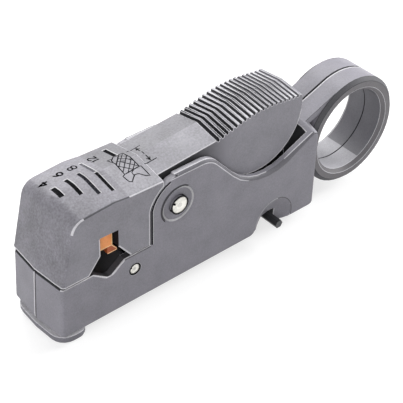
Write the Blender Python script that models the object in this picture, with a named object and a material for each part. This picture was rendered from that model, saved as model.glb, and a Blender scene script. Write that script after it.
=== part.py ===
import bpy
import bmesh
import math
from mathutils import Vector

for item in list(bpy.data.objects):
    bpy.data.objects.remove(item, do_unlink=True)

# Rotary coaxial cable stripper.
# X runs from the jaw to the finger ring, Y across the tool, Z up.
# Sizes are worked out from the base plane and the pivot axis of the lever.
# The finished tool then hangs from an empty that puts the origin where the
# cable lies: on the flat floor of the cable rest, on the centre plane.

# Clearances
GAP = 0.0003
RUN_GAP = 0.0005
SWING_GAP = 0.0004
SEAM_GAP = 0.0003

# Body shells, across the tool
BODY_WIDTH = 0.0178
WALL = 0.0018
EDGE_RADIUS = 0.0007

# Body shells, heights above the base plane
PIVOT_HEIGHT = 0.0210
PARTING_HEIGHT = 0.0136
PARTING_GAP = 0.0006
SHOULDER_HEIGHT = 0.0293
REAR_HEIGHT = 0.0223
FLOOR = 0.0050

# Body shells, reaches from the pivot axis
FRONT_REACH = 0.0313
FRONT_LEAN = 0.0007
FRONT_CROWN = 0.0007
FRONT_WALL = 0.0023
STEP_REACH = 0.0078
STEP_EASE = 0.0002
STEP_SWEEP = 83.0
SHOULDER_REACH = 0.0092
SHOULDER_ROUND = 0.0060
REAR_REACH = 0.0423
REAR_WALL = 0.0027
REAR_CROWN = 0.0016
REAR_FALL = 0.0007
CORNER_ROUND = 0.0012

# Scoop in the side walls, around the thumb pad
SCOOP_REACH = 0.0228
SCOOP_HEIGHT = 0.0141
SCOOP_ROUND = 0.0144

# Finger ring and the strap that carries it
RING_REACH = 0.0568
RING_HEIGHT = 0.0137
RING_RADIUS = 0.01425
RING_THICKNESS = 0.0034
RING_WIDTH = 0.0124
RIM_CHAMFER = 0.0009
STRAP_INSET = 0.0010
STRAP_SLOPE = 22.0
STRAP_CROWN = 0.0002
STRAP_THICKNESS = 0.0016
WEB_WIDTH = 0.0030
WEB_DROP = 0.0045

# Cable opening
CABLE_REACH = 0.0190
NOTCH_WIDTH = 0.0081
NOTCH_DEPTH = 0.0026
NOTCH_FLAT = 0.0010
FLARE_WIDTH = 0.0110
FLARE_DEPTH = 0.0040
SLOT_WIDTH = 0.0047
SLOT_DEPTH = 0.0086

# Lever
JAW_OVERHANG = 0.0003
JAW_FRONT_LEAN = 0.0035
JAW_HEIGHT = 0.0305
JAW_ROUND = 0.0036
JAW_DROP = 0.0009
LEVER_CROWN = 0.0017
DECK_RISE = 0.0013
CREASE_REACH = 0.0134
JAW_REAR_REACH = 0.0044
PAD_START = 0.0124
PAD_TOP_REACH = 0.0245
PAD_TOP_HEIGHT = 0.0344
PAD_END = 0.0379
PAD_END_HEIGHT = 0.0327
PAD_TOP_CROWN = 0.0011
PAD_END_CROWN = 0.0008
PAD_ROUND = 0.0300
HEEL_REACH = 0.0250
HEEL_HEIGHT = 0.0302
HEEL_RADIUS = 0.0130
PAD_CORNER = 0.0008
HUB_RADIUS = 0.0068
RIB_PITCH = 0.00132
RIB_DEPTH = 0.00060

# Pins
PIVOT_PIN_RADIUS = 0.00205
BLOCK_PIN_RADIUS = 0.00125
BLOCK_PIN_REACH = 0.0122
BLOCK_PIN_HEIGHT = 0.0093
PIVOT_PIN_PROUD = 0.0003
BLOCK_PIN_PROUD = -0.0001
BORE_RADIUS_TOP = 0.0049
BORE_RADIUS_FLOOR = 0.0041
BORE_DEPTH = 0.0005

# Cable rest
REST_NOTCH_WIDTH = 0.0092
REST_NOTCH_DEPTH = 0.0040
REST_NOTCH_FLAT = 0.0016
TOE_LENGTH = 0.0074
TOE_HEIGHT = 0.0022
TOE_CROWN = 0.0006
TOE_ROUND = 0.0042
TOE_REAR_ROUND = 0.0022
TOE_EDGE = 0.0011

# Blade insert
INSERT_INSET = 0.0015
INSERT_RISE = 0.0035
BLADE_INSET = 0.0032
BLADE_THICKNESS = 0.0005
BLADE_WIDTH = 0.0034
BLADE_LENGTH = 0.0024
BLADE_BEVEL = 0.0008
BLADE_DROP = 0.0005
TONGUE_START = 0.0009
TONGUE_END = 0.0034
TONGUE_HEIGHT = 0.0022
TONGUE_INSET = 0.0018
SCREW_RADIUS = 0.0011
SCREW_LENGTH = 0.0020
SCREW_SOCKET = 0.0006

# Return spring
SPRING_REACH = 0.0250
SPRING_RADIUS = 0.0026
SPRING_WIRE = 0.00035
SPRING_TURNS = 6
SEAT_DEPTH = 0.0030

# Key for the blade screws
KEY_SIZE = 0.0020
KEY_REACH = 0.0283
KEY_LENGTH = 0.0360
KEY_OFFSET = 0.0035
KEY_HEIGHT = 0.0026
KEY_STICK_OUT = 0.0028
KEY_BEND = 0.0022
KEY_NOTCH_FRONT = 0.0027
KEY_NOTCH_REAR = 0.0021
KEY_NOTCH_FLARE = 0.0037
FINGER_SCOOP_RADIUS = 0.0056
FINGER_SCOOP_DEPTH = 0.0015
FINGER_SCOOP_REACH = 0.0292
FINGER_SCOOP_HEIGHT = 0.0021

HALF_BODY = BODY_WIDTH / 2
HALF_LEVER = HALF_BODY - WALL - GAP
HALF_JAW = HALF_BODY + JAW_OVERHANG
LEVER_PARTING = PARTING_HEIGHT + PARTING_GAP
STEP_RADIUS = STEP_REACH + STEP_EASE
STRAP_WIDTH = RING_WIDTH - 2 * STRAP_INSET
JAW_REAR_RADIUS = STEP_RADIUS + RUN_GAP
REST_FRONT = -FRONT_REACH + FRONT_WALL + GAP
REST_REAR = -BLOCK_PIN_REACH - BLOCK_PIN_RADIUS - GAP
FAR_AWAY = 0.060


def material(name, colour, roughness, metallic):
    """Principled material in one plain colour."""
    result = bpy.data.materials.new(name)
    result.use_nodes = True
    shader = result.node_tree.nodes["Principled BSDF"]
    shader.inputs["Base Color"].default_value = (*colour, 1.0)
    shader.inputs["Roughness"].default_value = roughness
    shader.inputs["Metallic"].default_value = metallic
    return result


def finish(name, mesh, look=None):
    """Turn a bmesh into an object of the scene."""
    bmesh.ops.recalc_face_normals(mesh, faces=mesh.faces)
    data = bpy.data.meshes.new(name)
    mesh.to_mesh(data)
    mesh.free()
    item = bpy.data.objects.new(name, data)
    bpy.context.scene.collection.objects.link(item)
    if look is not None:
        data.materials.append(look)
    return item


def arc(x, z, radius, start, end, steps):
    """Points on an arc, angles in degrees from +X towards +Z."""
    points = []
    for i in range(steps + 1):
        angle = math.radians(start + (end - start) * i / steps)
        points.append((x + radius * math.cos(angle), z + radius * math.sin(angle)))
    return points


def rounded(corners, steps=4):
    """Outline through corners (x, z, radius), each turned by an arc."""
    path = []
    count = len(corners)
    for i, (x, z, radius) in enumerate(corners):
        here = Vector((x, z))
        if radius <= 0:
            path.append((x, z))
            continue
        back = Vector(corners[i - 1][:2]) - here
        ahead = Vector(corners[(i + 1) % count][:2]) - here
        half = back.angle(ahead) / 2
        reach = min(radius / math.tan(half), back.length * 0.49, ahead.length * 0.49)
        used = reach * math.tan(half)
        middle = (back.normalized() + ahead.normalized()).normalized()
        centre = here + middle * (used / math.sin(half))
        first = here + back.normalized() * reach - centre
        last = here + ahead.normalized() * reach - centre
        start = math.atan2(first.y, first.x)
        turn = math.atan2(last.y, last.x) - start
        turn = (turn + math.pi) % (2 * math.pi) - math.pi
        for k in range(steps + 1):
            angle = start + turn * k / steps
            path.append((centre.x + used * math.cos(angle), centre.y + used * math.sin(angle)))
    return path


def inset(points, distance):
    """Move an outline inwards by a distance."""
    area = sum(a[0] * b[1] - b[0] * a[1] for a, b in zip(points, points[1:] + points[:1]))
    side = 1.0 if area > 0 else -1.0
    moved = []
    count = len(points)
    for i, (x, z) in enumerate(points):
        back = (Vector((x, z)) - Vector(points[i - 1])).normalized()
        ahead = (Vector(points[(i + 1) % count]) - Vector((x, z))).normalized()
        normal = Vector((-back.y - ahead.y, back.x + ahead.x)).normalized() * side
        square = Vector((-back.y, back.x)) * side
        stretch = distance / max(normal.dot(square), 0.3)
        moved.append((x + normal.x * stretch, z + normal.y * stretch))
    return moved


def loft(name, rows, look=None):
    """Closed solid through outlines of equal point count, given as (y, points)."""
    mesh = bmesh.new()
    rings = [[mesh.verts.new((x, y, z)) for x, z in points] for y, points in rows]
    for one, two in zip(rings, rings[1:]):
        for i in range(len(one)):
            j = (i + 1) % len(one)
            mesh.faces.new((one[i], one[j], two[j], two[i]))
    mesh.faces.new(rings[0][::-1])
    mesh.faces.new(rings[-1])
    return finish(name, mesh, look)


def prism(name, points, start, end, look=None):
    """Straight solid between two Y positions."""
    return loft(name, [(start, points), (end, points)], look)


def upright(name, outline, rows, look=None):
    """Closed solid of plan outlines (x, y), stacked as (z, inset)."""
    mesh = bmesh.new()
    rings = []
    for z, shrink in rows:
        rings.append([mesh.verts.new((x, y, z)) for x, y in inset(outline, shrink)])
    for one, two in zip(rings, rings[1:]):
        for i in range(len(one)):
            j = (i + 1) % len(one)
            mesh.faces.new((one[i], one[j], two[j], two[i]))
    mesh.faces.new(rings[0][::-1])
    mesh.faces.new(rings[-1])
    return finish(name, mesh, look)


def box(name, low, high, look=None):
    """Straight block between two corners."""
    mesh = bmesh.new()
    bmesh.ops.create_cube(mesh, size=1.0)
    for vertex in mesh.verts:
        for k in range(3):
            vertex.co[k] = high[k] if vertex.co[k] > 0 else low[k]
    return finish(name, mesh, look)


def turned(name, profile, centre, sides, look=None, axis="Y"):
    """Solid turned about Y or Z from (radius, along) points; radius 0 closes an end."""
    mesh = bmesh.new()
    rings = []
    for radius, along in profile:
        ring = []
        for i in range(sides if radius > 0 else 1):
            angle = 2 * math.pi * i / sides
            across = (radius * math.cos(angle), radius * math.sin(angle))
            if axis == "Y":
                place = (centre[0] + across[0], along, centre[1] + across[1])
            else:
                place = (centre[0] + across[0], centre[1] + across[1], along)
            ring.append(mesh.verts.new(place))
        rings.append(ring)
    closed = profile[0][0] > 0 and profile[-1][0] > 0
    pairs = list(zip(rings, rings[1:]))
    if closed:
        pairs.append((rings[-1], rings[0]))
    for one, two in pairs:
        for i in range(sides):
            j = (i + 1) % sides
            if len(one) == 1:
                mesh.faces.new((one[0], two[j], two[i]))
            elif len(two) == 1:
                mesh.faces.new((one[i], one[j], two[0]))
            else:
                mesh.faces.new((one[i], one[j], two[j], two[i]))
    return finish(name, mesh, look)


def combine(target, tool, operation):
    """Boolean with a hidden helper object."""
    tool.hide_render = True
    tool.display_type = "WIRE"
    modifier = target.modifiers.new(tool.name, "BOOLEAN")
    modifier.operation = operation
    modifier.object = tool
    return target


def set_axis(item, x, y, z):
    """Move an object's origin without moving its shape."""
    for vertex in item.data.vertices:
        vertex.co -= Vector((x, y, z))
    item.location = (x, y, z)


def smooth(item, angle=40):
    item.data.shade_smooth()
    item.data.set_sharp_from_angle(angle=math.radians(angle))


grey = material("grey_plastic", (0.23, 0.23, 0.245), 0.55, 0.0)
grey_far = material("grey_plastic_far", (0.23, 0.23, 0.245), 0.55, 0.0)
lever_grey = material("lever_plastic", (0.25, 0.25, 0.265), 0.55, 0.0)
block_grey = material("block_plastic", (0.17, 0.17, 0.18), 0.6, 0.0)
orange = material("orange_plastic", (0.72, 0.25, 0.08), 0.5, 0.0)
pin_steel = material("pin_steel", (0.72, 0.71, 0.66), 0.3, 1.0)
small_pin_steel = material("small_pin_steel", (0.68, 0.67, 0.62), 0.32, 1.0)
blade_steel = material("blade_steel", (0.6, 0.6, 0.62), 0.25, 1.0)
screw_steel = material("screw_steel", (0.1, 0.1, 0.11), 0.35, 1.0)
spring_steel = material("spring_steel", (0.55, 0.55, 0.56), 0.3, 1.0)
key_black = material("key_black", (0.012, 0.012, 0.013), 0.35, 0.6)


def body_outline(crown, rear_lift):
    """Side outline of the shells; crown is 0 at the faces and 1 on the centre plane."""
    front = -FRONT_REACH - FRONT_CROWN * crown
    rise = SHOULDER_HEIGHT
    rear = REAR_HEIGHT + rear_lift
    lean = FRONT_LEAN * (rise - PARTING_HEIGHT) / PARTING_HEIGHT
    return rounded([
        (front - FRONT_LEAN, 0.0, CORNER_ROUND),
        (REAR_REACH, 0.0, CORNER_ROUND),
        (REAR_REACH, rear, CORNER_ROUND),
        (SCOOP_REACH, SCOOP_HEIGHT, SCOOP_ROUND),
        (SHOULDER_REACH, rise, SHOULDER_ROUND),
        (front + lean, rise, CORNER_ROUND),
    ], steps=6)


def step_cut():
    """Room for the upper jaw: above the parting line and ahead of the step."""
    low = math.pi - math.acos(STEP_REACH / STEP_RADIUS)
    curve = arc(0.0, PIVOT_HEIGHT, STEP_RADIUS, math.degrees(low), 180 - STEP_SWEEP, 6)
    return ([(-FAR_AWAY, PARTING_HEIGHT), (-STEP_REACH, PARTING_HEIGHT)] + curve
            + [(curve[-1][0], FAR_AWAY), (-FAR_AWAY, FAR_AWAY)])


def notch(width, depth, flat):
    """V for the cable, open at the top."""
    low = PARTING_HEIGHT - depth
    half = width / 2
    return [(-CABLE_REACH - half, PARTING_HEIGHT), (-CABLE_REACH - flat / 2, low),
            (-CABLE_REACH + flat / 2, low), (-CABLE_REACH + half, PARTING_HEIGHT),
            (-CABLE_REACH + half, PARTING_HEIGHT + FLARE_DEPTH),
            (-CABLE_REACH - half, PARTING_HEIGHT + FLARE_DEPTH)]


def strap_edge(crown):
    """Two ends of the strap's top line, tangent to the ring."""
    slope = math.radians(STRAP_SLOPE)
    touch = (RING_REACH - RING_RADIUS * math.sin(slope), RING_HEIGHT + RING_RADIUS * math.cos(slope))
    start = REAR_REACH - REAR_WALL / 2
    foot = touch[1] - (touch[0] - start) * math.tan(slope)
    return (start, foot + STRAP_CROWN * crown), touch


def ring_profile(side):
    """Cross-section of one ring half, as (radius, y)."""
    inner = RING_RADIUS - RING_THICKNESS
    seam = SEAM_GAP / 2
    rim = RING_WIDTH / 2
    return [(inner, side * seam), (inner, side * (rim - RIM_CHAMFER)),
            (inner + RIM_CHAMFER, side * rim), (RING_RADIUS - RIM_CHAMFER, side * rim),
            (RING_RADIUS, side * (rim - RIM_CHAMFER)), (RING_RADIUS, side * seam)]


def shell(name, side, look):
    """One moulded half; side is -1 for the near half and +1 for the far one."""
    seam = side * SEAM_GAP / 2
    face = side * HALF_BODY
    edge = EDGE_RADIUS
    bend = STRAP_WIDTH / 2
    item = loft(name, [
        (seam, body_outline(1.0, REAR_CROWN)),
        (side * bend, body_outline(1.0 - bend / (HALF_BODY - edge), REAR_CROWN * 0.75)),
        (face - side * edge, body_outline(0.0, 0.0)),
        (face - side * edge * 0.29, inset(body_outline(0.0, -REAR_FALL * 0.3), edge * 0.29)),
        (face, inset(body_outline(0.0, -REAR_FALL), edge)),
    ], look)

    # Ring, strap and web of the ring
    ring = turned(name + "_ring", ring_profile(side), (RING_REACH, RING_HEIGHT), 48)
    combine(item, ring, "UNION")
    strap_rows = []
    for y, crown in ((seam, 1.0), (side * STRAP_WIDTH / 2, 0.0)):
        (x0, z0), (x1, z1) = strap_edge(crown)
        drop = STRAP_THICKNESS + STRAP_CROWN * crown
        strap_rows.append((y, [(x0, z0 - drop), (x0, z0), (x1, z1 - RIM_CHAMFER * 0.05),
                               (x1 + STRAP_THICKNESS, z1 - drop)]))
    combine(item, loft(name + "_strap", strap_rows), "UNION")
    (x0, z0), (x1, z1) = strap_edge(0.0)
    low = RING_HEIGHT - WEB_DROP
    web = [(x0, low), (RING_REACH - RING_RADIUS + RIM_CHAMFER * 2, low),
           (x1, z1 - STRAP_THICKNESS), (x0, z0 - STRAP_THICKNESS / 2)]
    combine(item, prism(name + "_web", web, seam, side * WEB_WIDTH / 2), "UNION")

    # Hollow inside, open along the top and under the cable rest
    inner = side * (HALF_BODY - WALL)
    beyond = -side * WALL
    front = -FRONT_REACH + FRONT_WALL
    block_rear = REST_REAR + GAP
    rear = REAR_REACH - REAR_WALL
    hollow = [(front, -WALL), (block_rear, -WALL), (block_rear, FLOOR), (rear, FLOOR),
              (rear, FAR_AWAY), (front, FAR_AWAY)]
    combine(item, prism(name + "_hollow", hollow, inner, beyond), "DIFFERENCE")
    combine(item, prism(name + "_step", step_cut(), side * BODY_WIDTH, beyond), "DIFFERENCE")
    wall_notch = notch(NOTCH_WIDTH, NOTCH_DEPTH, NOTCH_FLAT)
    combine(item, prism(name + "_notch", wall_notch, side * BODY_WIDTH, side * WALL), "DIFFERENCE")

    # Bore for the pivot pin with its dish, and bore for the small pin
    inside = side * WALL
    floor = side * (HALF_BODY - BORE_DEPTH)
    away = side * BODY_WIDTH
    flare = BORE_RADIUS_TOP + (BORE_RADIUS_TOP - BORE_RADIUS_FLOOR) * HALF_BODY / BORE_DEPTH
    wide = PIVOT_PIN_RADIUS + GAP
    bore = turned(name + "_pivot_bore", [(0, inside), (wide, inside), (wide, floor),
                                         (BORE_RADIUS_FLOOR, floor), (flare, away), (0, away)],
                  (0.0, PIVOT_HEIGHT), 40)
    combine(item, bore, "DIFFERENCE")
    slim = BLOCK_PIN_RADIUS + GAP
    bore = turned(name + "_block_bore", [(0, inside), (slim, inside), (slim, away), (0, away)],
                  (-BLOCK_PIN_REACH, BLOCK_PIN_HEIGHT), 24)
    combine(item, bore, "DIFFERENCE")
    return item


# Near shell with the seat of the key and the finger scoop around its short leg
near = shell("body_shell_near", -1, grey)
key_corner = KEY_SIZE / math.sqrt(3)
key_side = key_corner + GAP
key_top = KEY_HEIGHT + KEY_SIZE / 2 + GAP
channel = box("key_channel", (KEY_REACH - KEY_LENGTH - GAP, -KEY_OFFSET - key_side, -WALL),
              (KEY_REACH + key_side, -KEY_OFFSET + key_side, key_top))
combine(near, channel, "DIFFERENCE")
notch_front = KEY_REACH - KEY_NOTCH_FRONT
notch_rear = KEY_REACH + KEY_NOTCH_REAR
flare = KEY_NOTCH_FLARE * WALL / key_top
key_notch = prism("key_notch", rounded([
    (notch_front - KEY_NOTCH_FLARE - flare, -WALL, 0.0), (notch_rear, -WALL, 0.0),
    (notch_rear, key_top, GAP), (notch_front, key_top, KEY_SIZE / 2)], steps=3),
    -BODY_WIDTH, -KEY_OFFSET + key_side)
combine(near, key_notch, "DIFFERENCE")
ball = (FINGER_SCOOP_RADIUS ** 2 + FINGER_SCOOP_DEPTH ** 2) / (2 * FINGER_SCOOP_DEPTH)
mesh = bmesh.new()
bmesh.ops.create_uvsphere(mesh, u_segments=64, v_segments=40, radius=ball)
scoop = finish("finger_scoop", mesh)
scoop.location = (FINGER_SCOOP_REACH, -HALF_BODY - ball + FINGER_SCOOP_DEPTH, FINGER_SCOOP_HEIGHT)
combine(near, scoop, "DIFFERENCE")
smooth(near, 30)

far = shell("body_shell_far", 1, grey_far)
smooth(far, 30)


def jaw_outline(crown):
    """Side outline of the upper jaw before its underside is trimmed."""
    front = -FRONT_REACH - FRONT_CROWN * crown
    under = LEVER_PARTING - PARTING_HEIGHT / 4
    slant = JAW_FRONT_LEAN / (JAW_HEIGHT - LEVER_PARTING)
    top = JAW_HEIGHT + LEVER_CROWN * crown
    brow = top - EDGE_RADIUS * 0.9
    return rounded([
        (front - slant * (LEVER_PARTING - under), under, 0.0),
        (front + JAW_FRONT_LEAN, brow, JAW_ROUND),
        (-CREASE_REACH - FLARE_DEPTH, top, JAW_ROUND * 3),
        (-CREASE_REACH, top - EDGE_RADIUS * 0.7, 0.0),
        (-JAW_REAR_REACH / 2, top - JAW_DROP, 0.0),
        (-JAW_REAR_REACH / 2, under, 0.0),
    ], steps=5)


def jaw_trim():
    """Everything under the parting line and behind the step of the shells."""
    face = STEP_REACH + SWING_GAP
    start = math.degrees(math.pi - math.acos(face / JAW_REAR_RADIUS))
    end = 180 - math.degrees(math.acos(JAW_REAR_REACH / JAW_REAR_RADIUS))
    curve = arc(0.0, PIVOT_HEIGHT, JAW_REAR_RADIUS, start, end, 6)
    return ([(-FAR_AWAY, LEVER_PARTING), (-face, LEVER_PARTING)] + curve
            + [(-JAW_REAR_REACH, FAR_AWAY), (FAR_AWAY, FAR_AWAY), (FAR_AWAY, -FAR_AWAY),
               (-FAR_AWAY, -FAR_AWAY)])


def ribbed(points):
    """Cross ribs along the top of the thumb pad."""
    lengths = [0.0]
    for a, b in zip(points, points[1:]):
        lengths.append(lengths[-1] + math.dist(a, b))
    count = int(round(lengths[-1] / RIB_PITCH))
    pitch = lengths[-1] / count

    def at(distance):
        for i in range(len(points) - 1):
            if distance <= lengths[i + 1] or i == len(points) - 2:
                share = (distance - lengths[i]) / (lengths[i + 1] - lengths[i])
                (ax, az), (bx, bz) = points[i], points[i + 1]
                along = Vector((bx - ax, bz - az)).normalized()
                return ax + (bx - ax) * share, az + (bz - az) * share, along
        return points[-1][0], points[-1][1], Vector((1, 0))

    ribs = []
    for k in range(count):
        for share, depth in ((0.06, 1.0), (0.34, 1.0), (0.5, 0.0), (0.9, 0.0)):
            x, z, along = at((k + share) * pitch)
            ribs.append((x + along.y * RIB_DEPTH * depth, z - along.x * RIB_DEPTH * depth))
    return ribs


def arm_outline(crown):
    """Side outline of the part of the lever that lies between the shells."""
    lift = LEVER_CROWN * crown * HALF_LEVER / HALF_BODY
    seat = LEVER_CROWN * (1 - HALF_LEVER / HALF_BODY)
    jaw_top = JAW_HEIGHT - JAW_DROP + seat - GAP * 0.4
    pad = rounded([
        (PAD_START, jaw_top + DECK_RISE + lift, 0.0),
        (PAD_TOP_REACH, PAD_TOP_HEIGHT + PAD_TOP_CROWN * crown, PAD_ROUND),
        (PAD_END, PAD_END_HEIGHT + PAD_END_CROWN * crown, PAD_CORNER),
        (PAD_END, HEEL_HEIGHT, 0.0),
    ], steps=8)
    top = pad[:-1]
    heel = arc(HEEL_REACH, HEEL_HEIGHT, HEEL_RADIUS, -8, -140, 14)
    hub = PIVOT_HEIGHT - HUB_RADIUS
    shape = [(-JAW_REAR_REACH * 2, jaw_top - GAP * 3 + lift), (-JAW_REAR_REACH * 1.02, jaw_top + lift)]
    shape += [(PAD_START - GAP, jaw_top + DECK_RISE + lift)] + ribbed(top[:-6]) + top[-6:] + heel
    shape += arc(0.0, PIVOT_HEIGHT, HUB_RADIUS, -45, -90, 4)
    shape += [(-JAW_REAR_REACH * 2, hub)]
    return shape


def make_lever():
    edge = EDGE_RADIUS
    outer = jaw_outline(0.0)
    face = HALF_JAW
    rows = [(-face, inset(outer, edge)), (-face + edge * 0.29, inset(outer, edge * 0.29)),
            (-face + edge, outer), (0.0, jaw_outline(1.0)), (face - edge, outer),
            (face - edge * 0.29, inset(outer, edge * 0.29)), (face, inset(outer, edge))]
    item = loft("lever", rows, lever_grey)
    combine(item, prism("jaw_trim", jaw_trim(), -BODY_WIDTH, BODY_WIDTH), "DIFFERENCE")
    arm = loft("lever_arm", [(-HALF_LEVER, arm_outline(0.0)), (0.0, arm_outline(1.0)),
                             (HALF_LEVER, arm_outline(0.0))])
    combine(item, arm, "UNION")

    # Flare for the cable, with the slot of the blade insert above it
    half = FLARE_WIDTH / 2
    slim = SLOT_WIDTH / 2
    low = LEVER_PARTING - WALL
    flare_top = LEVER_PARTING + FLARE_DEPTH
    slot = [(-CABLE_REACH - half, low), (-CABLE_REACH + half, low), (-CABLE_REACH + half, LEVER_PARTING),
            (-CABLE_REACH + slim, flare_top), (-CABLE_REACH + slim, LEVER_PARTING + SLOT_DEPTH),
            (-CABLE_REACH - slim, LEVER_PARTING + SLOT_DEPTH), (-CABLE_REACH - slim, flare_top),
            (-CABLE_REACH - half, LEVER_PARTING)]
    combine(item, prism("slot", slot, -BODY_WIDTH, BODY_WIDTH), "DIFFERENCE")

    # Bore for the pivot pin and seat for the spring
    bore = turned("lever_bore", [(0, -BODY_WIDTH), (PIVOT_PIN_RADIUS + GAP, -BODY_WIDTH),
                                 (PIVOT_PIN_RADIUS + GAP, BODY_WIDTH), (0, BODY_WIDTH)],
                  (0.0, PIVOT_HEIGHT), 24)
    combine(item, bore, "DIFFERENCE")
    seat_top = HEEL_HEIGHT - HEEL_RADIUS + SEAT_DEPTH
    wide = SPRING_RADIUS + SPRING_WIRE + RUN_GAP
    seat = turned("spring_seat", [(0, FLOOR), (wide, FLOOR), (wide, seat_top), (0, seat_top)],
                  (SPRING_REACH, 0.0), 24, axis="Z")
    combine(item, seat, "DIFFERENCE")
    set_axis(item, 0.0, 0.0, PIVOT_HEIGHT)
    smooth(item, 30)
    return item


lever = make_lever()

# Steel pins
for name, radius, proud, x, z, look in (
        ("pivot_pin", PIVOT_PIN_RADIUS, PIVOT_PIN_PROUD, 0.0, PIVOT_HEIGHT, pin_steel),
        ("block_pin", BLOCK_PIN_RADIUS, BLOCK_PIN_PROUD, -BLOCK_PIN_REACH, BLOCK_PIN_HEIGHT,
         small_pin_steel)):
    end = HALF_BODY + proud
    lip = radius * 0.12
    pin = turned(name, [(0, -end), (radius - lip, -end), (radius, -end + lip), (radius, end - lip),
                        (radius - lip, end), (0, end)], (x, z), 24, look)
    smooth(pin)

# Cable rest, with the toe that pulls it out
rest_half = HALF_BODY - WALL - GAP
rest_top = PARTING_HEIGHT - GAP
rest = box("v_block", (REST_FRONT, -rest_half, 0.0), (REST_REAR, rest_half, rest_top), block_grey)
toe_front = -FRONT_REACH - FRONT_LEAN - GAP
toe_rear = toe_front + TOE_LENGTH
neck = box("neck", (REST_FRONT, -rest_half, -TOE_HEIGHT / 2), (toe_rear - TOE_EDGE, rest_half, FLOOR / 2))
combine(rest, neck, "UNION")
toe_plan = rounded([(toe_front - TOE_CROWN, 0.0, TOE_ROUND), (toe_front, -HALF_BODY, TOE_ROUND),
                    (toe_rear, -HALF_BODY, TOE_REAR_ROUND), (toe_rear, HALF_BODY, TOE_REAR_ROUND),
                    (toe_front, HALF_BODY, TOE_ROUND)], steps=5)
toe_low = -GAP - TOE_HEIGHT
toe = upright("toe", toe_plan, [(toe_low, TOE_EDGE), (toe_low + TOE_EDGE * 0.29, TOE_EDGE * 0.29),
                                (toe_low + TOE_EDGE, 0.0), (-GAP, 0.0)])
combine(rest, toe, "UNION")
rest_notch = notch(REST_NOTCH_WIDTH, REST_NOTCH_DEPTH, REST_NOTCH_FLAT)
combine(rest, prism("rest_notch", rest_notch, -BODY_WIDTH, BODY_WIDTH), "DIFFERENCE")

# Blade insert: a head that fills the slot and a tongue over the cable
slim = SLOT_WIDTH / 2 - GAP
insert_low = LEVER_PARTING + INSERT_RISE
insert_top = LEVER_PARTING + SLOT_DEPTH - GAP
insert_half = HALF_BODY - INSERT_INSET
insert = box("blade_cassette", (-CABLE_REACH - slim, -insert_half, insert_low),
             (-CABLE_REACH + slim, insert_half, insert_top), orange)
tongue_half = HALF_BODY - TONGUE_INSET
tongue_low = insert_low - TONGUE_HEIGHT
tongue_front = -CABLE_REACH + TONGUE_START
tongue_rear = -CABLE_REACH + TONGUE_END
insert_rear = -CABLE_REACH + slim
tongue = prism("tongue", [(tongue_front, insert_low + GAP), (tongue_front, tongue_low),
                          (tongue_rear, tongue_low),
                          (tongue_rear, tongue_low + TONGUE_HEIGHT * 0.3), (insert_rear, insert_low),
                          (insert_rear - GAP, insert_low + GAP)], -tongue_half, tongue_half)
combine(insert, tongue, "UNION")
blade_top = insert_low - BLADE_DROP + BLADE_LENGTH
blade_place = insert_half - BLADE_INSET
for name, y in (("near", -blade_place), ("far", blade_place)):
    thick = BLADE_THICKNESS / 2
    reach = BLADE_WIDTH / 2 + GAP
    slit = box("slit_" + name, (-CABLE_REACH - reach, y - thick - GAP, insert_low - WALL),
               (-CABLE_REACH + reach, y + thick + GAP, blade_top + GAP))
    combine(insert, slit, "DIFFERENCE")
    hole_radius = SCREW_RADIUS + GAP
    hole = turned("screw_hole_" + name, [(0, blade_top), (hole_radius, blade_top),
                                         (hole_radius, insert_top + GAP), (0, insert_top + GAP)],
                  (-CABLE_REACH, y), 16, axis="Z")
    combine(insert, hole, "DIFFERENCE")

    # Blade with a cutting edge along its lower end
    low = insert_low - BLADE_DROP
    mesh = bmesh.new()
    section = [(-thick, blade_top), (-thick, low + BLADE_BEVEL), (-thick * 0.2, low), (thick * 0.2, low),
               (thick, low + BLADE_BEVEL), (thick, blade_top)]
    ends = [[mesh.verts.new((x, y + a, b)) for a, b in section]
            for x in (-CABLE_REACH - BLADE_WIDTH / 2, -CABLE_REACH + BLADE_WIDTH / 2)]
    for i in range(len(section)):
        j = (i + 1) % len(section)
        mesh.faces.new((ends[0][i], ends[0][j], ends[1][j], ends[1][i]))
    mesh.faces.new(ends[0][::-1])
    mesh.faces.new(ends[1])
    finish("blade_" + name, mesh, blade_steel)

    # Screw that sets the depth of the blade, with a hexagonal socket
    screw_top = insert_top - GAP
    screw_low = screw_top - SCREW_LENGTH
    screw = turned("set_screw_" + name, [(0, screw_low), (SCREW_RADIUS, screw_low),
                                         (SCREW_RADIUS, screw_top), (0, screw_top)],
                   (-CABLE_REACH, y), 16, screw_steel, axis="Z")
    socket_low = screw_top - SCREW_LENGTH / 2
    socket = turned("socket_" + name, [(0, socket_low), (SCREW_SOCKET, socket_low),
                                       (SCREW_SOCKET, screw_top + GAP), (0, screw_top + GAP)],
                    (-CABLE_REACH, y), 6, axis="Z")
    set_axis(screw, -CABLE_REACH, y, 0.0)
    combine(screw, socket, "DIFFERENCE")
    smooth(screw)

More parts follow.
